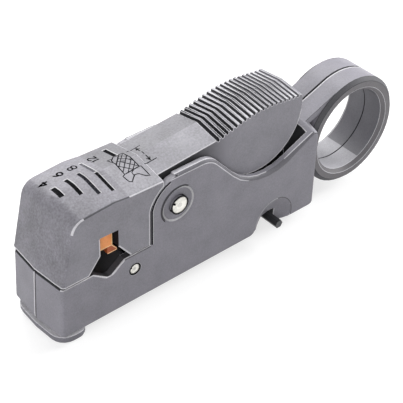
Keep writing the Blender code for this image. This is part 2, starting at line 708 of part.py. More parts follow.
# Return spring between the floor and the seat in the thumb pad
low = FLOOR + GAP + SPRING_WIRE
high = HEEL_HEIGHT - HEEL_RADIUS + SEAT_DEPTH - GAP - SPRING_WIRE
mesh = bmesh.new()
steps = SPRING_TURNS * 16
rings = []
for i in range(steps + 1):
    share = i / steps
    turn = 2 * math.pi * SPRING_TURNS * share
    closed = 0.5 - 0.5 * math.cos(math.pi * share)
    middle = Vector((SPRING_REACH + SPRING_RADIUS * math.cos(turn), SPRING_RADIUS * math.sin(turn),
                     low + (high - low) * (share * 0.7 + closed * 0.3)))
    out = Vector((math.cos(turn), math.sin(turn), 0))
    ring = []
    for k in range(6):
        angle = math.pi * k / 3
        ring.append(mesh.verts.new(middle + out * (SPRING_WIRE * math.cos(angle))
                                   + Vector((0, 0, SPRING_WIRE * math.sin(angle)))))
    rings.append(ring)
for one, two in zip(rings, rings[1:]):
    for k in range(6):
        j = (k + 1) % 6
        mesh.faces.new((one[k], one[j], two[j], two[k]))
mesh.faces.new(rings[0][::-1])
mesh.faces.new(rings[-1])
spring = finish("spring", mesh, spring_steel)
smooth(spring, 80)

# Bent key: hexagonal bar along the base, turned out through the near wall
route = [Vector((KEY_REACH - KEY_LENGTH, -KEY_OFFSET, KEY_HEIGHT))]
for i in range(6):
    angle = math.pi / 2 * i / 5
    route.append(Vector((KEY_REACH - KEY_BEND * (1 - math.sin(angle)),
                         -KEY_OFFSET - KEY_BEND * (1 - math.cos(angle)), KEY_HEIGHT)))
route.append(Vector((KEY_REACH, -HALF_BODY - KEY_STICK_OUT, KEY_HEIGHT)))
mesh = bmesh.new()
rings = []
for i, place in enumerate(route):
    ahead = (route[min(i + 1, len(route) - 1)] - route[max(i - 1, 0)]).normalized()
    across = ahead.cross(Vector((0, 0, 1)))
    ring = []
    for k in range(6):
        angle = math.pi * (k + 0.5) / 3
        ring.append(mesh.verts.new(place + across * (key_corner * math.sin(angle))
                                   + Vector((0, 0, key_corner * math.cos(angle)))))
    rings.append(ring)
for one, two in zip(rings, rings[1:]):
    for k in range(6):
        j = (k + 1) % 6
        mesh.faces.new((one[k], one[j], two[j], two[k]))
mesh.faces.new(rings[0][::-1])
mesh.faces.new(rings[-1])
finish("hex_key", mesh, key_black)

# The whole tool hangs from one empty that sets the origin
frame = bpy.data.objects.new("tool_origin", None)
frame.location = (CABLE_REACH, 0.0, REST_NOTCH_DEPTH - PARTING_HEIGHT)
bpy.context.scene.collection.objects.link(frame)
for item in bpy.data.objects:
    if item is not frame and item.parent is None:
        item.parent = frame
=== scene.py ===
import bpy
import bmesh
import math
from mathutils import Matrix, Vector
from mathutils.bvhtree import BVHTree


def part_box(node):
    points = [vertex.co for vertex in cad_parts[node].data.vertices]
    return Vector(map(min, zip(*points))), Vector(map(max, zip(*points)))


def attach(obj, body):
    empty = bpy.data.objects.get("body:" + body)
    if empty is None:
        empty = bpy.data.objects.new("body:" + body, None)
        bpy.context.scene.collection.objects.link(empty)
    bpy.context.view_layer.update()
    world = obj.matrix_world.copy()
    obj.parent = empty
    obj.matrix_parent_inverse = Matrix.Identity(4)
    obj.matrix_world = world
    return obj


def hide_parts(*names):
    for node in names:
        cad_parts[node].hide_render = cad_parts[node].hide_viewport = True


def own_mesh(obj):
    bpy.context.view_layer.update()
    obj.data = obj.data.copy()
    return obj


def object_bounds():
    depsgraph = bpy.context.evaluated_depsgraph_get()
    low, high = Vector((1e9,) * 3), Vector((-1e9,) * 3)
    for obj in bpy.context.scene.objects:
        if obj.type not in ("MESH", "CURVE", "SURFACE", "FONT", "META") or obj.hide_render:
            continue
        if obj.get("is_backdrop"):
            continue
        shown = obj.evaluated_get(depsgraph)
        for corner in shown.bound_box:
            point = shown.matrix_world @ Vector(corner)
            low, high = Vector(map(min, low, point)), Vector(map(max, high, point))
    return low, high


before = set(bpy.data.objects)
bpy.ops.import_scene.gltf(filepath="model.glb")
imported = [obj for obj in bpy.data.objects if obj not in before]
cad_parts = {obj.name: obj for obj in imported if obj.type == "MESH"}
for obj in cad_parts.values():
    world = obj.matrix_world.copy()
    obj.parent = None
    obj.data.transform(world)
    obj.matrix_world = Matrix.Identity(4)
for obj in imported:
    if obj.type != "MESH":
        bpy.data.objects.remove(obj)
cad_low, cad_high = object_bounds()
MM = 0.001

# ---- camera
IMAGE = 403  # width of the photograph in pixels
SENSOR = 36.0
AZIMUTH = math.radians(41.42)
ELEVATION = math.radians(38.52)
ROLL = math.radians(-1.55)
FOCAL_PIXELS = 1274.0
TARGET = Vector((33.04, -0.2, -0.2)) * MM
DISTANCE = 293.5 * MM

back = Vector((-math.sin(AZIMUTH) * math.cos(ELEVATION),
               -math.cos(AZIMUTH) * math.cos(ELEVATION), math.sin(ELEVATION)))
level = Vector((math.cos(AZIMUTH), -math.sin(AZIMUTH), 0.0))
rise = back.cross(level)
right = level * math.cos(ROLL) - rise * math.sin(ROLL)
up = level * math.sin(ROLL) + rise * math.cos(ROLL)
place = TARGET + back * DISTANCE
camera_data = bpy.data.cameras.new("camera")
camera_data.sensor_fit = "HORIZONTAL"
camera_data.sensor_width = SENSOR
camera_data.lens = FOCAL_PIXELS / IMAGE * SENSOR
camera_data.clip_start = 0.01
camera_data.clip_end = 20.0
camera = bpy.data.objects.new("camera", camera_data)
bpy.context.scene.collection.objects.link(camera)
camera.matrix_world = Matrix((
    (right.x, up.x, back.x, place.x),
    (right.y, up.y, back.y, place.y),
    (right.z, up.z, back.z, place.z),
    (0.0, 0.0, 0.0, 1.0)))
bpy.context.scene.camera = camera
bpy.context.scene.view_settings.view_transform = "Standard"


# ---- materials
CLOUD_SCALE = 210.0
SHEEN_SCALE = 420.0
GRAIN_SCALE = 5200.0
COARSE_SCALE = 2100.0  # coarser mottle of the tops


def nodes_of(name):
    """New material with its node tree and its shader."""
    look = bpy.data.materials.new(name)
    look.use_nodes = True
    tree = look.node_tree
    return look, tree, tree.nodes["Principled BSDF"]


def put(tree, kind, **values):
    """New shader node with input values; an underscore stands for a space."""
    node = tree.nodes.new("ShaderNode" + kind)
    for name, value in values.items():
        node.inputs[name.replace("_", " ")].default_value = value
    return node


def noise(tree, vector, scale, detail, rough=0.5):
    """Noise texture; scale counts its waves over a metre."""
    node = put(tree, "TexNoise", Scale=scale, Detail=detail, Roughness=rough)
    tree.links.new(vector, node.inputs["Vector"])
    return node.outputs["Fac"]


def ramp(tree, factor, stops):
    """Colours along a factor, from (position, colour) stops."""
    node = put(tree, "ValToRGB")
    bar = node.color_ramp
    while len(bar.elements) < len(stops):
        bar.elements.new(0.5)
    for element, (position, colour) in zip(bar.elements, stops):
        element.position = position
        element.color = (*colour, 1.0)
    tree.links.new(factor, node.inputs["Fac"])
    return node.outputs["Color"]


def shade(colour, factor):
    """Lighter or darker tone of a colour."""
    return tuple(min(1.0, c * factor) for c in colour)


def coat(tree, shader, tint, sheen, low, high):
    """Colour of a shader, and a roughness that goes from low to high with a noise."""
    node = put(tree, "MapRange", From_Min=0.3, From_Max=0.7, To_Min=low, To_Max=high)
    tree.links.new(sheen, node.inputs["Value"])
    tree.links.new(node.outputs["Result"], shader.inputs["Roughness"])
    tree.links.new(tint, shader.inputs["Base Color"])


def scaled(tree, value, factor, plus=None):
    """A value times a factor, with another value added when there is one."""
    node = put(tree, "Math")
    node.operation = "MULTIPLY" if plus is None else "MULTIPLY_ADD"
    node.inputs[1].default_value = factor
    tree.links.new(value, node.inputs[0])
    if plus is not None:
        tree.links.new(plus, node.inputs[2])
    return node.outputs[0]


def larger(tree, one, two):
    """The larger of two values."""
    node = put(tree, "Math")
    node.operation = "MAXIMUM"
    tree.links.new(one, node.inputs[0])
    tree.links.new(two, node.inputs[1])
    return node.outputs[0]


def bump(tree, shader, height, distance):
    """Fine relief; distance is its depth in metres."""
    node = put(tree, "Bump", Strength=1.0, Distance=distance)
    tree.links.new(height, node.inputs["Height"])
    tree.links.new(node.outputs["Normal"], shader.inputs["Normal"])


def plastic(name, colour, rough=0.52, grain=0.000016, specular=0.42, mottle=0.16,
            scale=3000.0):
    """Moulded plastic: cloudy colour, fine spark-eroded grain, uneven sheen."""
    look, tree, shader = nodes_of(name)
    where = put(tree, "TexCoord").outputs["Object"]
    cloud = scaled(tree, noise(tree, where, CLOUD_SCALE, 3.0), 0.48)
    mixed = scaled(tree, noise(tree, where, scale, 2.0, 0.6), 0.52, cloud)
    tint = ramp(tree, mixed, [
        (0.34, shade(colour, 1 - mottle)), (0.5, colour), (0.66, shade(colour, 1 + mottle))])
    sheen = noise(tree, where, SHEEN_SCALE, 4.0)
    coat(tree, shader, tint, sheen, rough - 0.07, rough + 0.08)
    shader.inputs["Specular IOR Level"].default_value = specular
    bump(tree, shader, noise(tree, where, GRAIN_SCALE, 3.0, 0.65), grain)
    return look


def metal(name, colour, rough=0.3, brushed=(1.0, 1.0, 1.0), scratch=0.000004, metallic=1.0):
    """Metal with a fine grain that can be stretched along one axis."""
    look, tree, shader = nodes_of(name)
    where = put(tree, "TexCoord").outputs["Object"]
    stretch = put(tree, "Mapping", Scale=brushed)
    tree.links.new(where, stretch.inputs["Vector"])
    lines = noise(tree, stretch.outputs["Vector"], 4200.0, 4.0, 0.6)
    cloud = noise(tree, where, 700.0, 3.0)
    tint = ramp(tree, cloud, [
        (0.35, shade(colour, 0.82)), (0.52, colour), (0.68, shade(colour, 1.1))])
    coat(tree, shader, tint, lines, rough - 0.08, rough + 0.1)
    shader.inputs["Metallic"].default_value = metallic
    bump(tree, shader, lines, scratch)
    return look


def cheek(name, dark, colour, start, end):
    """Plastic with painted shade that goes from dark to its own colour between two places along X.
    """
    look, tree, shader = nodes_of(name)
    where = put(tree, "TexCoord").outputs["Object"]
    parts = put(tree, "SeparateXYZ")
    tree.links.new(where, parts.inputs["Vector"])
    share = put(tree, "MapRange", From_Min=start, From_Max=end, To_Max=0.9)
    tree.links.new(parts.outputs["X"], share.inputs["Value"])
    blend = scaled(tree, noise(tree, where, 900.0, 3.0), 0.1, share.outputs["Result"])
    tint = ramp(tree, blend, [(0.08, dark), (0.45, shade(colour, 0.45)), (0.92, colour)])
    coat(tree, shader, tint, noise(tree, where, SHEEN_SCALE, 4.0), 0.5, 0.62)
    shader.inputs["Specular IOR Level"].default_value = 0.3
    bump(tree, shader, noise(tree, where, GRAIN_SCALE, 3.0, 0.65), 0.000016)
    return look


def ink(name, colour, under, worn):
    """Paint in an engraved mark, thinner where it has rubbed off."""
    look, tree, shader = nodes_of(name)
    where = put(tree, "TexCoord").outputs["Object"]
    rub = noise(tree, where, 2600.0, 4.0, 0.6)
    tint = ramp(tree, rub, [(worn, colour), (worn + 0.16, under)])
    coat(tree, shader, tint, rub, 0.62, 0.78)
    shader.inputs["Specular IOR Level"].default_value = 0.03
    bump(tree, shader, rub, 0.00001)
    return look


GREY = (0.202, 0.196, 0.223)
LEVER_GREY = (0.207, 0.202, 0.227)
BLOCK_GREY = (0.15, 0.147, 0.168)
# Colour of the painted highlight on bevelled edges and thin light lines
EDGE_HIGHLIGHT_GREY = (0.52, 0.512, 0.54)
shell_look = plastic("shell_plastic", GREY)
lever_look = plastic("lever_plastic_look", LEVER_GREY)
block_look = plastic("rest_plastic", BLOCK_GREY, rough=0.56)
# Painted highlight on the bevels and along chosen edges
edge_highlight_look = plastic("painted_edge_highlight", EDGE_HIGHLIGHT_GREY, rough=0.46, grain=0.000008)
# Painted shade, near black, on the faces inside the body, the lever's hollow and the rest
inside_shade_look = plastic("inside_painted_shade", (0.03, 0.03, 0.033), rough=0.66, specular=0.2)
# Dark joints along the seams, and painted shade in the contact gaps, under the jaw and on the step
gap_and_shade_look = plastic("gap_and_painted_shade", (0.04, 0.04, 0.044), rough=0.66, specular=0.2)
orange_look = plastic("orange_moulding", (0.97, 0.36, 0.115), rough=0.44, grain=0.000008)
# Painted highlight on the cassette's edges
orange_painted_highlight = plastic("orange_painted_highlight", (0.98, 0.6, 0.3), rough=0.4, grain=0.000005)
# Painted shade, a deeper orange, on the cassette low in the slot
orange_painted_shade = plastic("orange_painted_shade", (0.42, 0.095, 0.026), rough=0.4, grain=0.000006)
nickel = metal("nickel_pin", (0.72, 0.705, 0.66), rough=0.34, brushed=(1.0, 0.12, 1.0))
nickel_rim = metal("nickel_rim", (0.55, 0.54, 0.51), rough=0.3)
blade_look = metal("ground_steel", (0.62, 0.62, 0.64), rough=0.26, brushed=(0.1, 1.0, 1.0))
screw_look = metal("screw_steel_look", (0.16, 0.16, 0.17), rough=0.36)
spring_look = metal("spring_wire", (0.56, 0.56, 0.57), rough=0.3)
key_look = metal("black_oxide", (0.012, 0.012, 0.014), rough=0.42, metallic=0.1)
key_end = metal("key_cut_end", (0.06, 0.06, 0.066), rough=0.4, metallic=0.3)
ink_black = ink("ink_black", (0.003, 0.003, 0.004), (0.011, 0.011, 0.014), 0.54)
ink_mid = ink("ink_mid", (0.01, 0.01, 0.014), (0.048, 0.047, 0.057), 0.5)
ink_worn = ink("ink_worn", (0.075, 0.074, 0.085), (0.15, 0.148, 0.165), 0.46)
# Painted highlight on the rims of the marks, the dish bead, the step and the scoop's edge
rim_highlight_look = plastic("painted_rim_highlight", (0.4, 0.395, 0.41), rough=0.5, grain=0.000006)
# Painted shade in the V notch of the shells
notch_shade_look = plastic("notch_painted_shade", (0.066, 0.065, 0.073), rough=0.6, specular=0.2)
# Painted shade on the flat sides of the finger ring
ring_side_painted_shade = plastic("ring_side_painted_shade", (0.132, 0.126, 0.135), rough=0.54)
# Painted shade in the lever's slot and along the step behind the jaw
void_shade_look = plastic("void_painted_shade", (0.01, 0.01, 0.012), rough=0.75, specular=0.08)
# Painted highlight on the crests of the thumb pad's ribs
rib_highlight_look = plastic("rib_painted_highlight", (0.385, 0.38, 0.405), rough=0.5, grain=0.00001)
dusk_look = plastic("shaded_plastic", (0.085, 0.084, 0.092), rough=0.62, specular=0.25)
# Painted shade on the rounded top edge of the side walls
brink_shade_look = plastic("brink_painted_shade", (0.128, 0.125, 0.14), rough=0.56, specular=0.3)
# Dark seam line down the nose, and painted shade in the crescent beside the dish
seam_and_painted_shade_line = plastic("seam_and_painted_shade_line", (0.045, 0.044, 0.05), rough=0.6, specular=0.2)
# Coarser mottle, and painted shade on the jaw's sloping roof
roof_shade_look = plastic("roof_mottle_and_painted_shade", (0.176, 0.171, 0.193), rough=0.54, grain=0.000022,
                   mottle=0.34, scale=COARSE_SCALE)
# Painted shade on the far half of the deck, painted light on its near half
far_deck_shade_look = plastic("far_deck_painted_shade", (0.152, 0.149, 0.164), rough=0.54, grain=0.000022,
                    mottle=0.3, scale=COARSE_SCALE)
near_deck_light_look = plastic("near_deck_painted_light", (0.207, 0.203, 0.224), rough=0.5, grain=0.000022,
                     mottle=0.28, scale=COARSE_SCALE)
# Painted shade in the bore of the ring, and a painted patch of light low in it
bore_shade_look = plastic("bore_painted_shade", (0.128, 0.126, 0.14), rough=0.54)
bore_painted_light = plastic("bore_painted_light", (0.33, 0.326, 0.35), rough=0.5)
# Painted highlight on the upward faces of the shells' top and step
crest_highlight_look = plastic("crest_painted_highlight", (0.272, 0.266, 0.292), rough=0.5, mottle=0.26,
                     scale=COARSE_SCALE)
# Painted shade in the thumb pad's grooves, fading toward the rear
groove_shade_look = cheek("groove_painted_shade", (0.018, 0.018, 0.021), (0.15, 0.148, 0.162), 0.033,
                    0.06)
# Painted shade on the arm's sides, fading out toward the rear
cheek_shade_look = cheek("cheek_painted_shade", (0.02, 0.02, 0.022), LEVER_GREY, 0.024, 0.0345)
# Painted shade round the pins and in their slits
pin_painted_shade = plastic("pin_painted_shade", (0.012, 0.012, 0.014), rough=0.7, specular=0.1)


# ---- mesh helpers
# Places in a piece's list of looks; the first four are the same on every moulding
OUTER, EDGE, INSIDE, GAP = range(4)
NOTCH, SHADED, RING_SIDE, BRINK, BORE, BORE_LIT, CREST = range(4, 11)
GROOVE, CHEEK, RIB, VOID, ROOF, DECK_FAR, DECK_NEAR, DUSK = range(4, 12)
END_FACE, END_RIM, CLEARANCE, WALLS = range(4)
KEY_END = 2

TINY = 0.00006
LINE_LIFT = 0.00001  # height of the thin lines above the face they lie on


def build(name, mesh, looks=()):
    """Object made from a bmesh, which is freed."""
    data = bpy.data.meshes.new(name)
    mesh.to_mesh(data)
    mesh.free()
    for look in looks:
        data.materials.append(look)
    item = bpy.data.objects.new(name, data)
    bpy.context.scene.collection.objects.link(item)
    return item


def tube(mesh, rings, index=0):
    """Skin over rings of equally many vertices, with a cap at each end."""
    count = len(rings[0])
    faces = [mesh.faces.new((one[k], one[(k + 1) % count], two[(k + 1) % count], two[k]))
             for one, two in zip(rings, rings[1:]) for k in range(count)]
    faces += [mesh.faces.new(rings[0][::-1]), mesh.faces.new(rings[-1])]
    for face in faces:
        face.material_index = index


def clean_copy(node):
    """bmesh of a CAD node with its seams welded and flat areas joined."""
    mesh = bmesh.new()
    mesh.from_mesh(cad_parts[node].data)
    bmesh.ops.remove_doubles(mesh, verts=mesh.verts, dist=0.000002)
    bmesh.ops.dissolve_degenerate(mesh, dist=0.000002, edges=mesh.edges)
    bmesh.ops.dissolve_limit(mesh, angle_limit=math.radians(0.4), verts=mesh.verts,
                             edges=mesh.edges, use_dissolve_boundaries=False)
    bmesh.ops.recalc_face_normals(mesh, faces=mesh.faces)
    for face in mesh.faces:
        face.material_index = OUTER
    return mesh


def bake(item):
    """Turn the modifiers of an object into its mesh."""
    graph = bpy.context.evaluated_depsgraph_get()
    graph.update()
    data = bpy.data.meshes.new_from_object(item.evaluated_get(graph))
    old = item.data
    item.modifiers.clear()
    item.data = data
    bpy.data.meshes.remove(old)


def soften(item, width, angle, weigh):
    """Small bevel along the outward edges, in its own lighter material, a painted highlight."""
    data = item.data
    mesh = bmesh.new()
    mesh.from_mesh(data)
    layer = mesh.edges.layers.float.get("bevel_weight_edge")
    if layer is None:
        layer = mesh.edges.layers.float.new("bevel_weight_edge")
    limit = math.radians(angle)
    for edge in mesh.edges:
        if len(edge.link_faces) == 2 and edge.is_convex and edge.calc_face_angle(0.0) > limit:
            edge[layer] = 1.0 if weigh is None else weigh(middle_of(edge), edge)
    mesh.to_mesh(data)
    mesh.free()
    data.shade_smooth()
    data.set_sharp_from_angle(angle=math.radians(30))
    bevel = item.modifiers.new("bevel", "BEVEL")
    bevel.limit_method = "WEIGHT"
    bevel.width = width
    bevel.segments = 2
    bevel.use_clamp_overlap = False
    bevel.miter_outer = "MITER_SHARP"
    bevel.material = EDGE
    bake(item)


def settle(item, angle=38.0, crisp=None):
    """Smooth shading that keeps flat faces flat; crisp picks more sharp edges."""
    item.data.shade_smooth()
    item.data.set_sharp_from_angle(angle=math.radians(angle))
    if crisp is not None:
        verts = item.data.vertices
        for edge in item.data.edges:
            if crisp(verts[edge.vertices[0]].co, verts[edge.vertices[1]].co):
                edge.use_edge_sharp = True
    weighted = item.modifiers.new("weighted", "WEIGHTED_NORMAL")
    weighted.keep_sharp = True
    weighted.mode = "FACE_AREA"
    weighted.weight = 50
    bake(item)


def carve(item, tool):
    """Cut a tool out of a piece; the cut takes the tool's materials."""
    cut = item.modifiers.new("carve", "BOOLEAN")
    cut.operation = "DIFFERENCE"
    cut.solver = "EXACT"
    cut.use_self = True
    cut.material_mode = "TRANSFER"
    cut.object = tool
    bake(item)
    data = tool.data
    bpy.data.objects.remove(tool)
    bpy.data.meshes.remove(data)


def lathe(name, profile, centre, sides, looks, indices=None):
    """Piece turned about an axis along Y from (radius, along) points."""
    mesh = bmesh.new()
    rings = []
    for radius, along in profile:
        ring = []
        for i in range(sides if radius > 0 else 1):
            turn = 2 * math.pi * i / sides
            spot = (radius * math.cos(turn), along, radius * math.sin(turn))
            ring.append(mesh.verts.new(Vector(centre) + Vector(spot)))
        rings.append(ring)
    for k, (one, two) in enumerate(zip(rings, rings[1:])):
        for i in range(sides):
            j = (i + 1) % sides
            if len(one) == 1:
                face = mesh.faces.new((one[0], two[j], two[i]))
            elif len(two) == 1:
                face = mesh.faces.new((one[i], one[j], two[0]))
            else:
                face = mesh.faces.new((one[i], one[j], two[j], two[i]))
            face.material_index = indices[k] if indices else 0
    bmesh.ops.recalc_face_normals(mesh, faces=mesh.faces)
    return build(name, mesh, looks)


def skin(node, name, looks, width, zone=None, weigh=None, angle=32.0, shape=None):
    """Bevelled copy of a CAD node; zone picks the look of each face."""
    mesh = clean_copy(node)
    if shape is not None:
        shape(mesh)
    if zone is not None:
        mesh.normal_update()
        for face in mesh.faces:
            face.material_index = zone(face.calc_center_median(), face.normal)
    item = build(name, mesh, looks)
    soften(item, width, angle, weigh)
    return item


def edge_lines(node, name, body, look, chosen, start, width):
    """Thin raised lines on the faces of a CAD node, beside the chosen edges."""
    source = clean_copy(node)
    source.normal_update()
    made = bmesh.new()
    section = ((start, -LINE_LIFT), (start, LINE_LIFT),
               (start + width, LINE_LIFT), (start + width, -LINE_LIFT))
    for face in source.faces:
        loops = list(face.loops)
        count = len(loops)
        flags = [chosen(face, loop.edge) for loop in loops]
        inward = [face.normal.cross((loop.link_loop_next.vert.co - loop.vert.co).normalized())
                  for loop in loops]
        rows = {}
        for i in range(count):
            if not (flags[i] or flags[i - 1]):
                continue
            if flags[i] and flags[i - 1]:
                both = inward[i] + inward[i - 1]
                aside = both / max(0.3, 1 + inward[i].dot(inward[i - 1]))
            else:
                aside = inward[i] if flags[i] else inward[i - 1]
            spot = loops[i].vert.co
            rows[i] = [made.verts.new(spot + aside * reach + face.normal * lift)
                       for reach, lift in section]
        for i in range(count):
            if not flags[i]:
                continue
            one, two = rows[i], rows[(i + 1) % count]
            for k in range(4):
                made.faces.new((one[k], one[(k + 1) % 4], two[(k + 1) % 4], two[k]))
            if not flags[i - 1]:
                made.faces.new(one[::-1])
            if not flags[(i + 1) % count]:
                made.faces.new(two)
    source.free()
    bmesh.ops.recalc_face_normals(made, faces=made.faces)
    ride_along(build(name, made, (look,)), body)


def ride_along(item, body="body"):
    """Let a piece move with a body."""
    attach(item, body)


def adopt(item, body, node):
    """Let a piece stand for a CAD node and move with its body."""
    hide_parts(node)
    ride_along(item, body)


def middle_of(edge):
    """Middle of an edge."""
    return (edge.verts[0].co + edge.verts[1].co) / 2


def run_of(edge):
    """Direction of an edge."""
    return (edge.verts[1].co - edge.verts[0].co).normalized()


def sideways(direction):
    """Whether a normal or an edge points to a side of the part."""
    return abs(direction.y) > 0.9


def off_axis(spot, axis):
    """Distance from an axis that runs along Y."""
    return math.hypot(spot.x - axis.x, spot.z - axis.z)


def line_edge(face, edge):
    """Middle of an edge and the normal of the face beyond it."""
    beyond = [f.normal for f in edge.link_faces if f != face]
    return middle_of(edge), beyond[0] if beyond else face.normal


# ---- body shells
HALF_BODY = 0.0089
WALL = 0.0018
INNER = HALF_BODY - WALL
SIDE_START = HALF_BODY - 0.0009
PARTING = 0.004
PIVOT = Vector((0.019, 0.0, 0.0114))
RING = Vector((0.0758, 0.0, 0.0041))
SCOOP = Vector((0.0482, 0.0, -0.0075))
NOSE = -0.01  # the nose is ahead of it
RING_START = 0.06
STRAP_START = 0.056
STEP_FRONT = 0.0182
BORE_REACH = 0.0112  # just beyond the bore of the ring
DISH_REACH = 0.0055  # just beyond the dish round the pivot pin


def shell_zone(centre, normal):
    """Look of a face of a shell: dark joints in the seam; painted shade on the gaps, notch, hollow,
    dish wall, ring sides, bore and brink; painted light on the crests and low in the bore.
    """
    reach = abs(centre.y)
    if reach < TINY * 3 and sideways(normal):
        return GAP
    if centre.z > PARTING - TINY and centre.x < 0.0115 and normal.z > 0.9:
        return GAP
    if (centre.x < STEP_FRONT and centre.z > PARTING + TINY and normal.x < -0.25
            and reach > INNER - TINY):
        return GAP if normal.z < 0.45 and centre.z < 0.0191 else CREST
    if abs(centre.x) < 0.0046 and centre.z < PARTING and normal.z > 0.5 and reach > INNER:
        return NOTCH
    if reach < INNER + TINY and -0.0101 < centre.x < 0.0587 and centre.z > -0.0097:
        return INSIDE
    away = Vector((centre.x - PIVOT.x, 0.0, centre.z - PIVOT.z))
    if away.length < 0.003 and abs(normal.y) < 0.3:
        return GAP
    if 0.0041 < away.length < 0.005 and abs(normal.y) < 0.97:
        return SHADED if away.normalized().dot(Vector((-0.75, 0.0, 0.66))) > 0.15 else OUTER
    if centre.x > RING_START:
        out = off_axis(centre, RING)
        if out < BORE_REACH and abs(normal.y) < 0.3:
            turn = math.degrees(math.atan2(centre.z - RING.z, centre.x - RING.x))
            return BORE_LIT if -150 < turn < -66 else BORE
        if abs(normal.y) > 0.95 and out < 0.0145:
            return RING_SIDE
        if abs(normal.y) > 0.3 and out < 0.012:
            return RING_SIDE
        if abs(normal.y) > 0.3 and 0.0133 < out < 0.0145:
            return SHADED
    if on_brink(centre) and 0.3 < abs(normal.y) < 0.97:
        return BRINK
    if (normal.z > 0.45 and centre.z > 0.017 and 0.0135 < centre.x < 0.033
            and reach > INNER - TINY):
        return CREST
    return OUTER


def on_brink(spot):
    """Rounded outer edge along the top of a side wall."""
    if off_axis(spot, PIVOT) < DISH_REACH:
        return False
    return (abs(spot.y) > HALF_BODY - 0.00076 and spot.z > PARTING + 0.0004
            and 0.01 < spot.x < RING_START)


def shell_weight(middle, edge):
    """Narrow painted edge highlights on the seam, the ring and the dish, full ones elsewhere."""
    along = run_of(edge)
    turn = math.degrees(edge.calc_face_angle(0.0))
    if on_brink(middle) and abs(along.y) < 0.3:
        return 0.7 if turn < 34 else 0.0
    if turn < 32:
        return 0.0
    if abs(middle.z - PARTING) < TINY and middle.x < -0.0105 and abs(along.y) > 0.5:
        return 1.8
    if abs(middle.y) < TINY * 4:
        if middle.x < NOSE:
            return 1.3
        if middle.x > STRAP_START:
            if off_axis(middle, RING) < BORE_REACH:
                return 0.0
            return 1.6 if middle.y > 0 else 0.35
        return 0.6
    if abs(along.z) > 0.8 and middle.x < NOSE and abs(middle.y) > 0.006:
        return 3.0
    if sideways(along) and middle.z > 0.018 and middle.x < 0.02:
        return 0.0
    if middle.z < PARTING + TINY and abs(middle.x) < 0.0048 and abs(along.z) < 0.95:
        return 1.9 if abs(middle.y) > INNER + 0.0005 and abs(along.y) < 0.3 else 0.0
    if middle.x > RING_START:
        return 0.45
    if off_axis(middle, PIVOT) < DISH_REACH:
        return 0.0
    return 1.0


def repaint(item, index, chosen):
    """Give chosen painted edge highlights another look."""
    for polygon in item.data.polygons:
        if polygon.material_index == EDGE and chosen(polygon.center):
            polygon.material_index = index


def shell_dark_edge(spot):
    """Edge of the parting line round the nose, of the far ring and of the step behind the jaw."""
    out = off_axis(spot, RING)
    if (abs(spot.z - PARTING) < 0.00035 and spot.x < NOSE
            and abs(spot.y) < HALF_BODY - 0.0006):
        return True
    if spot.x > STRAP_START and spot.y > 0:
        return spot.y < 0.0006 or (spot.x > RING_START and out > 0.0127)
    if spot.x > RING_START and out > 0.0127 and spot.y < -0.004:
        return True
    away = off_axis(spot, PIVOT)
    return spot.x < STEP_FRONT and spot.z > PARTING + 0.0006 and 0.0074 < away < 0.0084


def front_corner(spot):
    """Rounded upright corners of the nose, which stay in the colour of the part."""
    return spot.x < -0.0098 and abs(spot.y) > 0.0064 and abs(spot.z - PARTING) > 0.0009


def step_line(face, edge):
    """Edge of the step behind the jaw, on the side of a shell."""
    middle, beyond = line_edge(face, edge)
    return (sideways(face.normal) and beyond.x < -0.25 and abs(beyond.y) < 0.9
            and middle.x < STEP_FRONT and middle.z > PARTING
            and 0.0074 < off_axis(middle, PIVOT) < 0.0086 and abs(middle.y) > SIDE_START)


def parting_line(face, edge):
    """Edge under the jaw, behind the V."""
    middle, beyond = line_edge(face, edge)
    return (sideways(face.normal) and abs(middle.z - PARTING) < TINY * 2
            and 0.0046 < middle.x < 0.0112 and beyond.z > 0.5
            and abs(middle.y) > SIDE_START)


def nose_seam(face, edge):
    """Seam down the front of the nose."""
    middle, beyond = line_edge(face, edge)
    return (face.normal.x < -0.5 and abs(middle.y) < 0.0003 and middle.x < NOSE
            and sideways(beyond))


def ring_seam(face, edge):
    """Seam along the top of the strap and the ring."""
    middle, beyond = line_edge(face, edge)
    return (middle.x > 0.0575 and abs(middle.y) < 0.0003 and sideways(beyond)
            and abs(face.normal.y) < 0.3 and face.normal.z > -0.3
            and off_axis(middle, RING) > 0.0125)


def scoop_edge(face, edge):
    """Where the finger scoop for the key meets the side of the near shell."""
    middle, beyond = line_edge(face, edge)
    return (face.normal.y < -0.999 and off_axis(middle, SCOOP) < 0.0062
            and abs(beyond.y) < 0.98 and middle.y < 0.00002 - HALF_BODY
            and middle.z > -0.0094)


def scoop_rim(face, edge):
    """Part of the scoop's edge that catches the light."""
    return scoop_edge(face, edge) and middle_of(edge).x < SCOOP.x + 0.001


def scoop_shade(face, edge):
    """Part of the scoop's edge that lies in shade."""
    return scoop_edge(face, edge) and middle_of(edge).x >= SCOOP.x + 0.001


shell_looks = (shell_look, edge_highlight_look, inside_shade_look, gap_and_shade_look, notch_shade_look, dusk_look, ring_side_painted_shade,
               brink_shade_look, bore_shade_look, bore_painted_light, crest_highlight_look)
for side in ("near", "far"):
    node = "body_shell_" + side
    shell = skin(node, "shell_" + side, shell_looks, 0.00015, zone=shell_zone,
                 weigh=shell_weight, angle=20.0)
    # Dark joints on the nose's parting line, and painted shade on the far ring and the step, in
    # place of the painted highlight
    repaint(shell, GAP, shell_dark_edge)
    repaint(shell, OUTER, front_corner)
    settle(shell)
    adopt(shell, "body", node)
    # Painted shade along the step and under the jaw, with a painted highlight beside the step
    edge_lines(node, "step_lines_" + side, "body", void_shade_look, step_line, 0.0001, 0.00048)
    edge_lines(node, "step_rims_" + side, "body", rim_highlight_look, step_line, 0.00062, 0.00016)
    edge_lines(node, "parting_lines_" + side, "body", dusk_look, parting_line, 0.0001, 0.00028)
